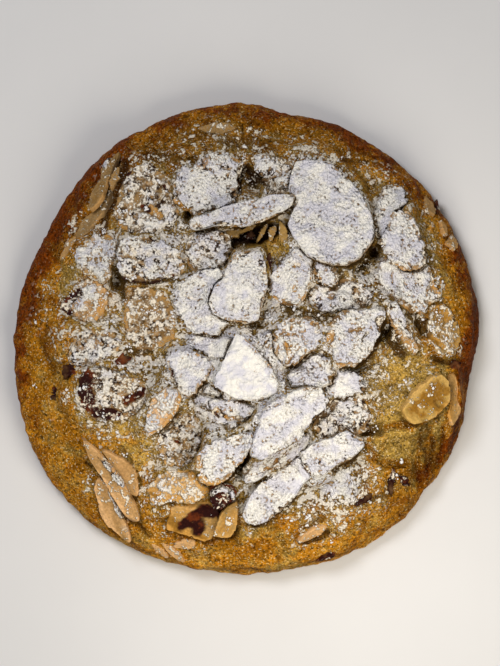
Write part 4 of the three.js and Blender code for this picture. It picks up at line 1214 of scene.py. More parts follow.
def doughCrag(x, y, z, fade):
    # noise in four sizes less pits; under a flake nothing may rise, and the foot stays on the floor
    p = doughPiece
    crag = p["crag"] * roughNoise(x, y, z, p["cragSize"], p["seed"])
    crag += p["grain"] * roughNoise(x, y, z, p["grainSize"], p["seed"] + 7, 2)
    crag -= p["pitDepth"] * pitDepth(x, y) * fade
    crag += p["sideCrag"] * softNoise(x, y, z, p["sideSize"], p["seed"] + 3) * (1 - fade)
    crag += p["lobe"] * roughNoise(x, y, z, p["lobeSize"], p["seed"] + 4, 2) * fade
    covered = ease(0.25, 0.6, sampled(blurred(onFlake * 1.0, p["coverBlur"]), x, y))
    return np.where(crag > 0, crag * (1 - covered), crag) * ease(0, p["footRise"], z)


def doughBrowning(x, y, folded, waver):
    # browning, and painted shade and light, by direction, from the middle through the inside to the rim
    p = doughPiece
    edge = edgeShare(x, y)
    degrees = np.degrees(np.arctan2(y, x)) % 360
    tables = (p[key] for key in ("rimBakeAndShade", "insideBake", "rimPaintedLight", "insidePaintedShade"))
    rim, inside, rimPaintedLight, insidePaintedShade = (np.interp(degrees, *zip(*table)) for table in tables)
    bake = p["middleBake"] + (inside - p["middleBake"]) * ease(0.6, 0.88, edge)
    bake += (rim - bake) * ease(0.88, 0.985, edge)
    bake += p["patchBake"] * roughNoise(x, y, 0.0, p["patchSize"], p["seed"] + 5)
    # folds browner and darker: painted shade in the creases
    bake += p["foldBakeAndShade"] * folded - p["paleBake"] * strokeShare(x, y, p["pale"], waver)
    # painted shade inside the rim and in the folds, painted light on the rim
    shade = 1 + (insidePaintedShade - 1) * ease(0.6, 0.8, edge) * (1 - ease(0.92, 0.99, edge))
    shade += (rimPaintedLight - 1) * ease(0.88, 0.98, edge) - p["foldPaintedShade"] * folded
    return np.clip(bake, 0, 1.3), shade


def doughShadeInGaps(x, y, smooth, hollow, dark):
    # painted shade: darkness far below the tops around, in hollows and slits, and in crevices
    p = doughPiece
    low = ease(*p["gapDepth"], sampled(blurred(topMap, p["gapBlur"]), x, y) - smooth)
    creviceShadow = creviceShadowShare(x, y, smooth)
    return np.max([p["lowGap"] * low, ease(*p["hollowGap"], hollow), dark, p["creviceGap"] * creviceShadow], axis=0)


def doughCover(x, y, z, gap, steepness, waver):
    # the map's sugar with lumps, less in gaps, on slopes, low down and near the rim
    p = doughPiece
    lumps = 0.5 * cellLumps(x, y, p["lumpSize"], p["seed"]) + 0.25 * (1 + waver)
    sugar = sampled(doughSugarMap, x, y) + p["lumpShare"] * (lumps - 0.5)
    sugar = sugar * (1 - p["gapLoss"] * gap) * ease(*p["sugarRise"], z)
    sugar -= p["slopeLoss"] * ease(0.3, 0.9, steepness)
    return np.clip(sugar * (1 - p["rimLoss"] * ease(0.86, 0.95, edgeShare(x, y))), 0, 1)


def closeBase(points, quads, border):
    # rings on the floor shrinking from the border to a small middle one, closed by fans of quads
    rings, width = doughPiece["baseRings"], len(border)
    loops = np.vstack([border, len(points) + np.arange((rings - 1) * width).reshape(-1, width)])
    extra = [points[border] * (1, 1, 0) * (1 - k / rings) for k in range(1, rings)]
    inner = np.append(loops[-1], loops[-1][0])
    hub = np.full(width // 2, len(points) + (rings - 1) * width)
    fan = np.stack([inner[:-2:2], hub, inner[2::2], inner[1:-1:2]], 1)
    return np.vstack([points, *extra, np.zeros((1, 3))]), np.vstack([quads, bandQuads(loops), fan])


def buildDough():
    # the solid's form with its rise between the flakes, less hollows, slits and folds,
    # then moved along its normals by noise
    p = doughPiece
    share, heading, quads, border = roundGrid(p["cells"])
    profileShare, profileHeight = doughProfile(p["cells"] // 2 + 1)
    ring = np.rint(share * p["cells"] / 2).astype(int)
    x, y = around(profileShare[ring] * outlineRadius(heading), heading)
    plain = profileHeight[ring]
    fade = reliefShare(plain) * (ring <= np.argmax(profileShare))  # the upper side ends at the widest ring
    hollow, dark = hollowShare(x, y), sampled(slitMap, x, y)
    waver = roughNoise(x, y, 0.0, p["waverSize"], p["seed"] + 2)
    folded = grooveShare(x + 0.4 * waver, y, p["grooves"], p["grooveWidth"])
    smooth = plain + (doughRelief(x, y) + sampled(fillMap, x, y)) * fade
    z = smooth - (p["hollowDepth"] * hollow + p["slitDepth"] * dark + p["groove"] * folded) * fade
    points = np.stack([x, y, z], 1)
    normals = pointNormals(points, quads)
    points += normals * doughCrag(x, y, z, fade)[:, None]
    bake, shade = doughBrowning(x, y, folded, waver)
    gap = doughShadeInGaps(x, y, smooth, hollow, dark) * fade
    sugar = doughCover(x, y, z, gap, 1 - normals[:, 2], waver)
    allPoints, faces = closeBase(points, quads, border)
    base = np.ones(len(allPoints) - len(points))
    attributes = {"bake": np.append(bake, p["baseBake"] * base), "shade": np.append(shade, base),
                  "gap": np.append(np.clip(gap, 0, 1), 0 * base), "sugar": np.append(sugar, 0 * base)}
    allPoints -= (middleX, middleY, 0)
    piece = makePiece("dough_baked", allPoints, faces, doughFinish, attributes)
    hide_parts("dough")
    return piece


dough = buildDough()
print("dough:", len(dough.data.polygons), "faces")


# Flakes

flakePiece = {
    "cell": 0.21, "fewest": 24, "most": 96, "seed": 71,
    "bulge": 0.14, "rimAngles": (62, 22, -22, -62), "rimSugar": (1, 0.9, 0.5, 0.1),
    "nibble": 0.28, "notch": 0.9, "cleanEdge": 0.3, "waver": 0.3, "waverSize": 5.0,  # uneven edge and face
    "edgeLoss": 0.55, "toastLoss": 0.45, "skinLoss": 0.4, "creviceLoss": 0.85, "crackLoss": 0.35,  # of sugar
    "patch": 0.1, "lump": 0.3, "lumpSize": 1.1, "thin": 0.24, "thinSize": 2.4,
    "heap": 0.85, "leastSugar": 0.32, "roughSize": 0.9, "strokeWaver": 1.4, "lossSize": 3.2,
    "sugarDepth": 0.55, "wave": 0.4, "waveSize": 3.0, "mostDrift": 1.4, "crackWidth": 0.35, "crackDepth": 0.4,
    "streak": 0.55, "bareStreak": 1.25, "streakSize": 1.3, "streakLength": 7,
}
skinStrokes = {  # brown skin: half width, and a line in plan
    "w_4": [(2, [(-31.5, -7.4), (-32.5, -10.2), (-31.7, -12.8)]),
        (1.4, [(-31.7, -12.8), (-29.9, -14.6), (-27.5, -15.2), (-25.5, -15.4)]),
        (0.9, [(-24.1, -12.4), (-22.7, -11.6), (-20.9, -10.4)])],
    "w_6": [(0.55, [(-25.3, 12.6), (-23.9, 11.6), (-21.9, 11), (-19.5, 10.8), (-17.1, 11.4),
        (-14.9, 12.4)]), (0.4, [(-19.7, 20.6), (-18.5, 19.6)]), (0.5, [(-18.3, 15.6), (-17.7, 15.2)])],
    "w_1": [(1.1, [(-37.3, 8.2), (-35.5, 7.6), (-33.7, 8.8)]), (0.9, [(-36.9, 6.8), (-35.5, 5.2)])],
    "nw_3": [(0.4, [(-26.1, 29.4), (-24.7, 31.6), (-23.3, 33.2)]), (0.4, [(-16.5, 30.4), (-16.1, 29.8)]),
        (0.7, [(-20.7, 26.2), (-19.7, 25.8)]), (0.3, [(-19.5, 34.8), (-17.5, 33.4)])],
    "s_1": [(1.3, [(-12.7, -37.2), (-11.1, -35.6), (-9.5, -34.4), (-7.9, -33.8), (-5.9, -34.6)]),
        (1.5, [(-10.3, -35.4), (-9.9, -37.4)])],
    "c_5": [(0.3, [(-6.5, -14.4), (-5.7, -15.4)])],
    "e_5": [(0.35, [(23.7, 1.2), (22.7, 0.2), (22.5, -1)])],
    "sw_1": [(0.5, [(-14.3, -20.2), (-13.5, -20.6)])],
    "c_11": [(0.4, [(-14.9, -6.2), (-14.1, -8.2), (-13.3, -9.8)])],
    "c_4": [(0.5, [(5.5, -2.6), (6.5, -4.4)])],
}
toastStrokes = {  # toasted and bare of sugar
    "nw_3": [(1.2, [(-25.7, 22.6), (-24.7, 21)]), (1, [(-19.1, 25.8), (-17.5, 24.6)])],
    "w_5": [(0.9, [(-28.3, 20.6), (-27.1, 20.2)])],
    "w_1": [(0.6, [(-28.9, 7.8), (-29.3, 5.4), (-30.3, 4.2)])],
    "sw_2": [(1.2, [(-10.3, -27), (-8.3, -29), (-7.9, -31)]),
        (0.9, [(-19.1, -29.8), (-16.5, -31.6), (-13.5, -32)])],
    "sw_5": [(0.6, [(-13.3, -11.8), (-14.3, -14.6), (-16.7, -17.6), (-19.1, -19)])],
    "c_5": [(0.5, [(-6.3, -13.6), (-3.9, -15.8), (-1.9, -15.6)])],
    "c_12": [(0.6, [(7.3, -1.2), (8.5, -3.2), (7.7, -4.6)])],
    "c_9": [(0.5, [(9.5, 14.6), (10.3, 14.6)]), (0.5, [(4.9, 8.2), (7.9, 6.6)])],
    "e_5": [(0.8, [(16.5, 1.2), (15.9, -0.6)]), (0.5, [(17.3, -5), (20.5, -5.6)])],
    "sw_7": [(0.8, [(-9.7, -23.8), (-9.5, -27), (-7.5, -28.8), (-4.7, -28.4)])],
    "n_2": [(0.6, [(-3.3, 36.4), (-1.7, 35.4)]), (0.7, [(-13.7, 26.8), (-11.9, 25.4)])],
    "n_3": [(0.9, [(-11.1, 22.6), (-8.9, 22)]), (0.5, [(2.1, 22.8), (5.7, 24.4)]),
        (0.5, [(-6.3, 23), (-2.5, 22.2)])],
    "s_1": [(0.9, [(-15.7, -37.4), (-12.5, -38.4), (-9.1, -39.8)])],
    "e_3": [(0.5, [(36.1, 0.6), (37.7, -0.4), (38.9, -1.6)]), (1, [(37.9, 6), (39.7, 4.2)])],
    "e_4": [(0.9, [(36.9, 11), (38.5, 8.4)]), (0.6, [(31.1, 6.2), (34.5, 4.8)])],
    "e_6": [(0.9, [(29.7, 2.2), (31.5, -0.4), (33.5, -2.6)])],
    "e_1": [(0.8, [(40.3, -12.6), (40.1, -15.4)])],
    "e_2": [(0.9, [(38.3, -14.6), (39.7, -13)]), (0.5, [(34.7, -11.4), (36.5, -13)])],
    "s_6": [(0.6, [(7.3, -23), (4.5, -25.4), (2.1, -27)])],
    "c_13": [(0.5, [(-3.1, 3.4), (-0.3, 3.2)])],
    "c_10": [(0.6, [(13.3, 13.6), (14.3, 11.6)])],
}
sugarStrokes = {  # sugar on bare slices
    "sw_6": [(0.5, [(-28.3, -24.2), (-27.1, -25.8)]), (0.5, [(-26.5, -27), (-24.7, -28.8)])],
    "sw_3": [(0.45, [(-27.3, -30.2), (-26.5, -32.2), (-25.9, -33.6), (-25.1, -35.2)])],
    "nw_2": [(0.5, [(-27.5, 35.6), (-28.3, 34.2)])],
    "s_3": [(0.75, [(-6.7, -30.2), (-5.1, -29.6), (-4.3, -29.8)]), (0.4, [(-3.1, -30.2), (-2.9, -31)])],
}
deepStrokes = {  # gold-brown places
    "e_2": [(0.9, [(37.7, -9.4), (39.3, -10.4)]), (0.4, [(36.1, -12), (36.3, -12.6)]),
        (0.5, [(36.7, -12.8), (37.5, -13.8)]), (0.4, [(34.9, -13), (35.5, -13.6)]),
        (0.4, [(37.9, -14), (38.7, -13.4)]), (0.3, [(33.7, -14.6), (34.3, -15.2)])],
    "s_1": [(0.9, [(-15.3, -35.8), (-13.9, -37.6)]), (0.4, [(-10.3, -38.8), (-8.3, -39.6)])],
    "s_2": [(0.4, [(-1.7, -33.2), (-1.7, -35.8)])],
    "e_3": [(0.7, [(37.1, 5.4), (38.5, 6.2)]), (0.4, [(36.3, 0.2), (37.7, -0.8)])],
    "sw_2": [(0.4, [(-19.3, -30.6), (-17.5, -31.6)]), (0.4, [(-10.3, -27.4), (-8.7, -29)])],
    "n_2": [(0.4, [(-13.7, 26.6), (-11.9, 25.4)])],
    "nw_3": [(0.4, [(-25.5, 22.2), (-24.7, 21)])],
}
flakeCracks = {  # grooves: lines in plan
    "ne_3": [[(10.1, 29.8), (10.9, 28.6), (11.3, 27.2)]],
    "w_6": [[(-25.1, 18), (-24.1, 16.6), (-22.5, 16), (-22.3, 17), (-23.3, 18.4)],
        [(-21.3, 15.4), (-20.1, 14.2), (-18.5, 13.2), (-17.5, 13.6)]],
    "ne_2": [[(28.1, 16.8), (30.1, 16.2), (32.1, 15)]],
    "e_5": [[(20.3, 1.6), (22.7, 2)]],
    "s_7": [[(2.9, -14), (5.7, -13), (10.5, -11.8), (12.9, -11)], [(2.9, -20.2), (6.5, -17.8), (8.9, -15.8)]],
    "c_8": [[(-12.3, 8.6), (-10.3, 7.8), (-8.3, 8)]],
}
strokeTables = {
    "skinned": skinStrokes, "toasted": toastStrokes, "heaped": sugarStrokes, "deepened": deepStrokes,
}


def flakeSpot(flake, reach, heading):
    # a point in the flake's own axes, by reach and heading from its centre
    a, b = around(reach, heading)
    return flake["centre"][0] + a, flake["centre"][1] + b


def flakeLeaf(flake, seed):
    # a round grid out to the torn outline, nibbled and notched by noise, at the height of the flake's middle
    p = flakePiece
    cells = 2 * (int(np.clip(flake["size"] / p["cell"], p["fewest"], p["most"])) // 2)
    share, heading, quads, border = roundGrid(cells)
    share = (share + np.sin(share * math.pi / 2)) / 2  # rings closer together near the rim
    nibble = softNoise(*around(4, heading), 0.0, 1.0, seed)
    nibble += roughNoise(*around(9, heading), 5.0, 1.0, seed + 1)
    notch = np.clip(softNoise(*around(6, heading), 9.0, 1.0, seed + 2) - 0.25, 0, 1)
    ragged = p["cleanEdge"] if flake["bare"] or flake["clean"] else 1.0
    reach = flakeReach(flake, heading) + ragged * (p["nibble"] * nibble - p["notch"] * notch) - p["bulge"]
    a, b = flakeSpot(flake, share * reach, heading)
    middle = flakeBend(flake, a, b) + p["waver"] * roughNoise(a, b, 0.0, p["waverSize"], seed + 3)
    x, y, z = flakePoints(flake, a, b, middle + flake["thickness"] / 2).T
    return {"a": a, "b": b, "middle": middle, "reach": reach, "heading": heading, "quads": quads,
            "border": border, "inside": p["bulge"] + (1 - share) * reach,
            "x": x + middleX, "y": y + middleY, "z": z}


def markLeaf(flake, leaf, seed):
    # noise over the plan, the strokes that cross the flake and what is over it or beside it
    p = flakePiece
    x, y, z = leaf["x"], leaf["y"], leaf["z"]
    leaf["waver"] = roughNoise(x, y, 0.0, p["strokeWaver"], seed + 9)
    rough = roughNoise(x, y, 0.0, p["roughSize"], seed + 5)
    leaf["lumps"] = 0.55 * cellLumps(x, y, p["lumpSize"], seed) + 0.25 * (1 + rough)
    for key, strokes in strokeTables.items():
        leaf[key] = strokeShare(x, y, strokes.get(flake["place"], []), leaf["waver"])
    deep = flake["deep"] * (0.5 + ease(-0.4, 0.4, leaf["waver"])) * ease(0.2, 1.8, leaf["inside"])
    leaf["deepened"] = np.maximum(deep, leaf["deepened"])
    leaf["cracked"] = grooveShare(x, y, flakeCracks.get(flake["place"], []), p["crackWidth"])
    leaf["open"] = 1 - ease(0.15, 0.55, sampled(topMap, x, y) - z)
    leaf["drifted"] = np.clip(sampled(driftMap, x, y) - z, 0, p["mostDrift"]) * ease(0, 0.8, leaf["inside"])
    # painted shadow south-east of higher things and in the slits, where the top is open
    dark = np.maximum(creviceShadowShare(x, y, z + leaf["drifted"]), sampled(slitMap, x, y))
    leaf["creviceShadow"] = dark * leaf["open"]


def lostEdge(leaf, usual, seed):
    # 1 where sugar has come off the edge: by noise, and along the south-east edge of well covered flakes
    x, y, inside = leaf["x"], leaf["y"], leaf["inside"]
    rough = roughNoise(x, y, 0.0, flakePiece["lossSize"], seed + 21)
    lost = (1 - ease(0.1, 1.6, inside)) * ease(-0.1, 0.6, rough)
    southEast = ease(0.0, 0.8, np.cos(np.arctan2(y - y.mean(), x - x.mean()) + 0.9)) * (usual > 0.75)
    return np.maximum(lost, (1 - ease(0.05, 0.5, inside)) * southEast)


def coverLeaf(flake, leaf, seed):
    # sugar where nothing is above: the usual share with lumps, less on toast, skin and edges and in crevices
    p = flakePiece
    x, y, usual = leaf["x"], leaf["y"], flake["sugar"]
    cover = usual + p["patch"] * patchNoise(x, y) + p["lump"] * (leaf["lumps"] - 0.45) * ease(0.0, 0.3, usual)
    thin = ease(0.4, 0.6, usual) * (1 - ease(0.95, 1.1, usual))
    cover += p["thin"] * softNoise(x, y, 0.0, p["thinSize"], seed + 51) * thin
    cover -= p["toastLoss"] * leaf["toasted"] + p["skinLoss"] * leaf["skinned"]
    cover = np.maximum(cover, p["heap"] * leaf["heaped"])
    least = p["leastSugar"] * min(usual, 1.0) * ease(0.25, 0.45, usual) * (1 - 0.7 * leaf["skinned"])
    cover = np.maximum(cover - p["edgeLoss"] * lostEdge(leaf, usual, seed), least)
    return cover * leaf["open"] * (1 - p["creviceLoss"] * leaf["creviceShadow"])


def powderDepth(leaf, cover, seed):
    # lumps, waves and drifts of sugar, where it covers
    p = flakePiece
    wave = p["wave"] * (1 + softNoise(leaf["x"], leaf["y"], 0.0, p["waveSize"], seed + 41))
    powder = p["sugarDepth"] * ease(0.2, 0.8, cover) * (0.2 + 1.1 * leaf["lumps"])
    return powder + (leaf["drifted"] + wave) * ease(0.3, 0.7, cover)


def leafPoints(flake, leaf, powder):
    # top, underside and the rings of a rounded rim, down which the powder thins out
    p = flakePiece
    a, b, middle, border, half = leaf["a"], leaf["b"], leaf["middle"], leaf["border"], flake["thickness"] / 2
    points = [flakePoints(flake, a, b, middle + half + powder - p["crackDepth"] * leaf["cracked"])]
    points.append(flakePoints(flake, a, b, middle - half))
    for angle in np.radians(p["rimAngles"]):
        spot = flakeSpot(flake, leaf["reach"][border] + p["bulge"] * math.cos(angle), leaf["heading"][border])
        rise = half * math.sin(angle) + powder[border] * 0.5 * (1 + math.sin(angle))
        points.append(flakePoints(flake, *spot, middle[border] + rise))
    return np.vstack(points)


def streakLeaf(flake, leaf, seed):
    # noise drawn out along the flake, with pale edges on a bare one as a painted highlight
    p = flakePiece
    along, across = turnedBack(leaf["a"], leaf["b"], flake["lengthwise"])
    streak = roughNoise(along / p["streakLength"], across, 0.0, p["streakSize"], seed + 31)
    if flake["bare"]:
        # a bare slice's rim painted paler, as a highlight
        return p["bareStreak"] * (streak - 0.5 * (1 - ease(0.0, 0.9, leaf["inside"])))
    return p["streak"] * streak


def toastLeaf(flake, leaf):
    # toasting all over, in strokes, and along the edges of thinly covered flakes
    edge = (1 - ease(0.1, 0.7, leaf["inside"])) * (1 - ease(0.4, 0.8, flake["sugar"]))
    return flake["toast"] * ease(-0.8, 0.6, leaf["waver"]) + 0.6 * leaf["toasted"] + 0.15 * edge


def spreadLeaf(leaf, values, below, rimShares=(1,) * len(flakePiece["rimAngles"])):
    # the top's values, one for the underside, and the border's times a share for each ring of the rim
    rim = [values[leaf["border"]] * share for share in rimShares]
    return np.concatenate([values, np.full(len(values), below), *rim])


def buildFlake(flake, number):
    # a torn leaf under its sugar; the finish goes on from the border round the rim, and the underside is bare
    p = flakePiece
    seed = p["seed"] + 13 * number
    leaf = flakeLeaf(flake, seed)
    markLeaf(flake, leaf, seed)
    cover = coverLeaf(flake, leaf, seed)
    points = leafPoints(flake, leaf, powderDepth(leaf, cover, seed))
    cover -= p["crackLoss"] * leaf["cracked"]
    spread = partial(spreadLeaf, leaf)
    every = np.ones(len(points))
    attributes = {
        "sugar": np.clip(spread(cover, 0.0, p["rimSugar"]), 0, 1.5),
        "gap": 0.9 * spread(leaf["creviceShadow"], 0.0),
        # painted shadow in the crevices
        "pale": flake["pale"] * every,
        "skin": np.clip(spread(np.maximum(leaf["skinned"], flake["skin"]), flake["skin"]), 0, 1),
        "toast": np.clip(spread(toastLeaf(flake, leaf), 0.2), 0, 0.9),
        "yellow": flake["yellow"] * every,
        "deep": 0.9 * spread(leaf["deepened"], 0.0),
        "tone": flake["tone"] + spread(streakLeaf(flake, leaf, seed), 0.0)}
    faces = leafFaces(leaf["quads"], leaf["border"], len(leaf["a"]), len(p["rimAngles"]))
    piece = makePiece("almond_" + flake["place"], points, faces, almondFinish, attributes)
    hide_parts("flake_" + flake["place"])
    return piece


flakePieces = [buildFlake(flake, number) for number, flake in enumerate(flakes.values())]
print("flakes:", sum(len(piece.data.polygons) for piece in flakePieces), "faces")


# Slivers and scraps of skin baked into the dough

chipPiece = {
    "cells": 16, "thickness": 1.2, "proud": 0.4, "span": 1.0, "seed": 401,
    "bulge": 0.12, "rimAngles": (50, 0, -50), "bend": 0.15, "bendSize": 2.0, "waverSize": 1.2,
}
slivers = [  # x, y, length, width, turn in degrees, tone, yellowness
    (-5.7, 41.9, 8.6, 2.6, 0, 2.1, 0), (13.1, -38.4, 6.4, 2.2, 25, 0.3, 0),
    (-17.3, -42, 4.6, 1.8, -48, 0.3, 0), (-14.9, -42.2, 6, 1.8, -42, 0.3, 0),
    (-12.3, -40.6, 4.6, 2.8, 22, 0.3, 0), (36.2, 26.1, 5.4, 2.6, -66, 1.5, 0),
    (38.9, 22.2, 3.6, 1.5, -62, 1.3, 0), (40.7, 19.1, 3.8, 2.7, -72, 1.2, 0),
    (-35.3, 18.4, 5.8, 1.6, 55, 1.3, 0), (-26.3, 31.9, 5.4, 1.9, 72, 1.6, 0),
    (-34.5, 23.6, 2.8, 0.9, 80, 1.3, 0), (7.3, 20.4, 5.2, 1.8, -75, 2, 0.3),
    (2.9, 21.2, 4.2, 1.1, 62, 2.3, 0.2), (0.2, 21.9, 3.4, 1, 25, 1.9, 0.3), (-2.9, 21, 4.8, 2.2, 8, 2.3, 0.2),
    (7, 22.2, 5, 1.2, 80, 1.8, 0.5), (4.9, 21.2, 4, 1.6, 75, 2.4, 0.15)]
scraps = [  # x, y, length, width, turn in degrees
    (41.3, -5.2, 3, 2.4, 10), (-35.3, -6.4, 3.4, 2.8, 60), (-37.8, -11, 3.8, 2.4, 80),
    (-25.4, -4, 4, 2.6, 15), (16, -43, 3.8, 1.6, 25), (28.6, -28.4, 6, 1.4, 85), (31, -28, 3.8, 1.6, -50),
    (23.4, -31.8, 4, 1.6, 30), (4.1, 15.2, 4.2, 2, 80), (37.6, 25.9, 4.8, 0.9, -84),
    (0.6, 20.6, 3.2, 1.5, 78)]


def chipLeaf(chip, seed, bluntness, ragged):
    # a small blunted ellipse lying on the slope of the dough, its reach varied by noise, with a rounded rim
    p = chipPiece
    cx, cy, length, width, turn = chip[:5]
    share, heading, quads, border = roundGrid(p["cells"])
    along, across = around(2, heading - math.radians(turn))
    reach = (np.abs(along / length) ** bluntness + np.abs(across / width) ** bluntness) ** (-1 / bluntness)
    reach = reach * (1 + ragged * roughNoise(*around(2, heading), 0.0, 1.0, seed))
    span = p["span"]
    heights = doughHeight(cx + span * np.array([0, 1, -1, 0, 0]), cy + span * np.array([0, 0, 0, 1, -1]))
    axes = planeAxes(np.array([heights[2] - heights[1], heights[4] - heights[3], 2 * span]))
    lift = sampled(fillMap, cx, cy)[0] + p["thickness"] * (p["proud"] - 0.5)
    middle = np.array([cx - middleX, cy - middleY, heights[0] + lift])
    inner, half = reach - p["bulge"], p["thickness"] / 2
    bend = p["bend"] * roughNoise(*around(reach * share, heading), 0.0, p["bendSize"], seed)
    rings = [(share * inner, heading, bend + half), (share * inner, heading, bend - half)]
    for angle in np.radians(p["rimAngles"]):
        out = inner[border] + p["bulge"] * math.cos(angle)
        rings.append((out, heading[border], bend[border] + half * math.sin(angle)))
    points = [middle + np.stack([*around(out, turned), h], 1) @ axes for out, turned, h in rings]
    return np.vstack(points), leafFaces(quads, border, len(share), len(p["rimAngles"]))


def buildChips(name, chips, skin, sugar, bluntness, ragged):
    # the leaves of all the chips in one piece
    p = chipPiece
    leaves = [chipLeaf(chip, p["seed"] + k, bluntness, ragged) for k, chip in enumerate(chips)]
    starts = np.cumsum([0] + [len(points) for points, _ in leaves])
    points = np.vstack([points for points, _ in leaves])
    faces = np.vstack([faces + start for (_, faces), start in zip(leaves, starts)])
    waver = roughNoise(*points.T, p["waverSize"], p["seed"])
    tone, yellow = np.repeat([chip[5:] for chip in chips], np.diff(starts), axis=0).T
    uneven = {"sugar": (sugar, 0.25), "skin": (skin, 0.2 * skin), "toast": (0.15, 0.25)}  # usual, noise
    attributes = {key: np.clip(usual + share * waver, 0, 1) for key, (usual, share) in uneven.items()}
    attributes.update(tone=tone, yellow=yellow)
    piece = makePiece(name, points, faces, almondFinish, attributes)
    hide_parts("dough")


skinScraps = [(*scrap, 1, 0) for scrap in scraps]
buildChips("almond_slivers", slivers, skin=0.0, sugar=0.1, bluntness=1.35, ragged=0.3)
buildChips("skin_scraps", skinScraps, skin=1.0, sugar=0.02, bluntness=1.2, ragged=0.5)
print("chips:", len(slivers) + len(scraps))


# Loose grains of sugar

sugarGrains = {
    "clumps": 1800, "tries": 40000, "most": 7, "fewer": 1.6, "spread": 0.3, "seed": 91,
    "half": 46, "edge": 0.95, "steepest": 1.2, "lift": 0.2, "blur": 0.2,  # where they may fall
    "small": 0.09, "large": 0.3, "smaller": 2.5,
    "flatness": 0.7, "stretch": (0.7, 1.3), "uneven": 0.3, "halvings": 1,
}


def grainForm(halvings):
    # an octahedron with its edges halved over and over, on the unit sphere
    corners = np.array([(1, 0, 0), (0, 1, 0), (-1, 0, 0), (0, -1, 0), (0, 0, 1), (0, 0, -1)], float)
    faces = np.array([(k, (k + 1) % 4, 4) for k in range(4)] + [((k + 1) % 4, k, 5) for k in range(4)])
    for _ in range(halvings):
        edges = np.sort(np.stack([faces, np.roll(faces, -1, axis=1)], -1).reshape(-1, 2), axis=1)
        edges, place = np.unique(edges, axis=0, return_inverse=True)
        halves = corners[edges].sum(1)
        halves /= np.linalg.norm(halves, axis=1, keepdims=True)
        a, b, c = faces.T
        ab, bc, ca = (len(corners) + place.reshape(-1, 3)).T
        quarters = ((a, ab, ca), (ab, b, bc), (ca, bc, c), (ab, bc, ca))
        faces = np.concatenate([np.stack(quarter, 1) for quarter in quarters])
        corners = np.vstack([corners, halves])
    return corners, faces


def grainPoints(places, size):
    # each grain is the form with uneven corners, stretched, turned and set down, all in one array
    p = sugarGrains
    draw = np.random.default_rng(p["seed"])
    form, faces = grainForm(p["halvings"])
    count = len(places)
    corners = form[None] * (1 + p["uneven"] * draw.uniform(-1, 1, (count, len(form), 1)))
    longer, wider = draw.uniform(*p["stretch"], count), draw.uniform(*p["stretch"], count)
    stretch = np.stack([longer, wider, np.full(count, p["flatness"])], 1) * size[:, None]
    x, y, z = np.moveaxis(corners * stretch[:, None, :], -1, 0)
    c, s = around(1, draw.uniform(0, 2 * math.pi, count)[:, None])
    points = np.stack([x * c - y * s, x * s + y * c, z], -1) + places[:, None, :]
    every = faces[None] + len(form) * np.arange(count)[:, None, None]
    return points.reshape(-1, 3), every.reshape(-1, 3)


def surfaceMaps():
    # the height that a grain lands on, the sugar there and how steep the spot is
    crumb = baseMap + fillMap - doughPiece["hollowDepth"] * hollowShare(mapX, mapY)
    land = np.where(onFlake, topMap + sugarGrains["lift"], crumb)
    sugar = np.where(onFlake, sugarByFlake[ownerMap], doughSugarMap)
    return land, sugar, np.hypot(*np.gradient(blurred(land, sugarGrains["blur"]), mapCell))


def buildSugarGrains():
    # clumps where sugar lies, of one to several grains close together
    p = sugarGrains
    land, sugar, rise = surfaceMaps()
    draw = np.random.default_rng(p["seed"])
    x, y = draw.uniform(-p["half"], p["half"], (2, p["tries"]))
    edge = edgeShare(x, y)
    chance = np.clip(sampled(sugar, x, y), 0.05, 1) * (1 - 0.8 * ease(0.85, 0.93, edge))
    chance = chance * (edge < p["edge"]) * (sampled(rise, x, y) < p["steepest"])
    kept = np.flatnonzero(draw.random(p["tries"]) < chance)[: p["clumps"]]
    each = 1 + (p["most"] * draw.random(len(kept)) ** p["fewer"]).astype(int)
    x, y = np.repeat(x[kept], each), np.repeat(y[kept], each)
    size = p["small"] + (p["large"] - p["small"]) * draw.random(len(x)) ** p["smaller"]
    dx, dy = draw.normal(0, p["spread"], (2, len(x)))
    x, y = x + dx, y + dy
    points, faces = grainPoints(np.stack([x, y, sampled(land, x, y) + 0.1 * size], 1), size)
    return makePiece("sugar_grains", points - (middleX, middleY, 0), faces, sugarFinish)


grains = buildSugarGrains()
print("sugar grains:", len(grains.data.polygons), "faces")


# Floor, light and camera

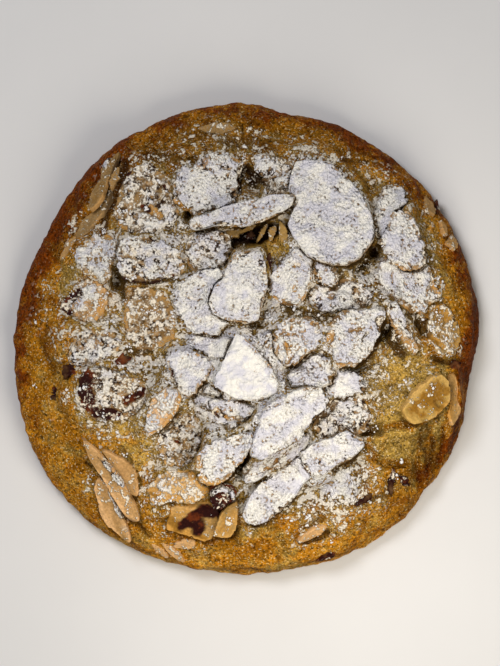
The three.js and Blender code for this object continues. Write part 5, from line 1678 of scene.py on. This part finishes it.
stage = {
    "floor": (0.66, 0.652, 0.635), "darker": 0.97, "floorBlotch": 60.0, "floorGrain": 1.5,
    "floorHalf": 1.6, "floorRoughness": 0.8, "floorShine": 0.5, "worldLight": 0.2,
    "distance": 2.0, "imageHeight": 0.1332, "lookAt": (0.5, 1.2), "sensor": 36,  # the picture is 500 x 666
    "lights": [  # name, place, size, watts, colour
        ("back_key", (-0.24, 0.28, 0.72), 0.3, 3.45, (0.95, 0.95, 1.0)),
        ("low_lamp", (0.03, -0.06, 0.11), 0.1, 0.122, (1.0, 0.93, 0.82)),
    ],
}


def makeFloor():
    # one pale square, slightly blotched
    half = stage["floorHalf"]
    mesh = bpy.data.meshes.new("floor")
    corners = [(-half, -half, 0), (half, -half, 0), (half, half, 0), (-half, half, 0)]
    mesh.from_pydata(corners, [], [(0, 1, 2, 3)])
    material, shader, vector = newMaterial("paleFloor", stage["floorShine"])
    mottle = placeGroup(vector, mottleGroup, Blotches=stage["floorBlotch"], Grains=stage["floorGrain"])
    darker = tuple(stage["darker"] * c for c in stage["floor"])
    colour = mixColours(mottle["Blotch"], stage["floor"], darker)
    plugAll(shader, Roughness=stage["floorRoughness"], **{"Base Color": colour})
    mesh.materials.append(material)
    floor = bpy.data.objects.new("floor", mesh)
    bpy.context.scene.collection.objects.link(floor)


def makeLights():
    # an even white world and round lamps that face the origin
    world = bpy.data.worlds.new("studio")
    world.use_nodes = True
    plugAll(world.node_tree.nodes["Background"], Color=(1, 1, 1), Strength=stage["worldLight"])
    bpy.context.scene.world = world
    for name, place, size, watts, colour in stage["lights"]:
        data = bpy.data.lights.new(name, "AREA")
        data.shape = "DISK"
        data.size, data.energy, data.color = size, watts, colour
        light = bpy.data.objects.new(name, data)
        light.location = place
        light.visible_camera = False
        light.rotation_euler = (-light.location).to_track_quat("-Z", "Y").to_euler()
        bpy.context.scene.collection.objects.link(light)


def makeCamera():
    # straight down, the top of the picture towards +Y; the sensor spans the picture's height
    data = bpy.data.cameras.new("camera")
    data.sensor_width = stage["sensor"]
    data.lens = data.sensor_width * stage["distance"] / stage["imageHeight"]
    camera = bpy.data.objects.new("camera", data)
    lookX, lookY = stage["lookAt"]
    camera.location = ((lookX - middleX) * mm, (lookY - middleY) * mm, stage["distance"])
    bpy.context.scene.collection.objects.link(camera)
    bpy.context.scene.camera = camera


makeFloor()
makeLights()
makeCamera()
bpy.context.scene.view_settings.view_transform = "Standard"
print("stage set")

bpy.context.view_layer.update()
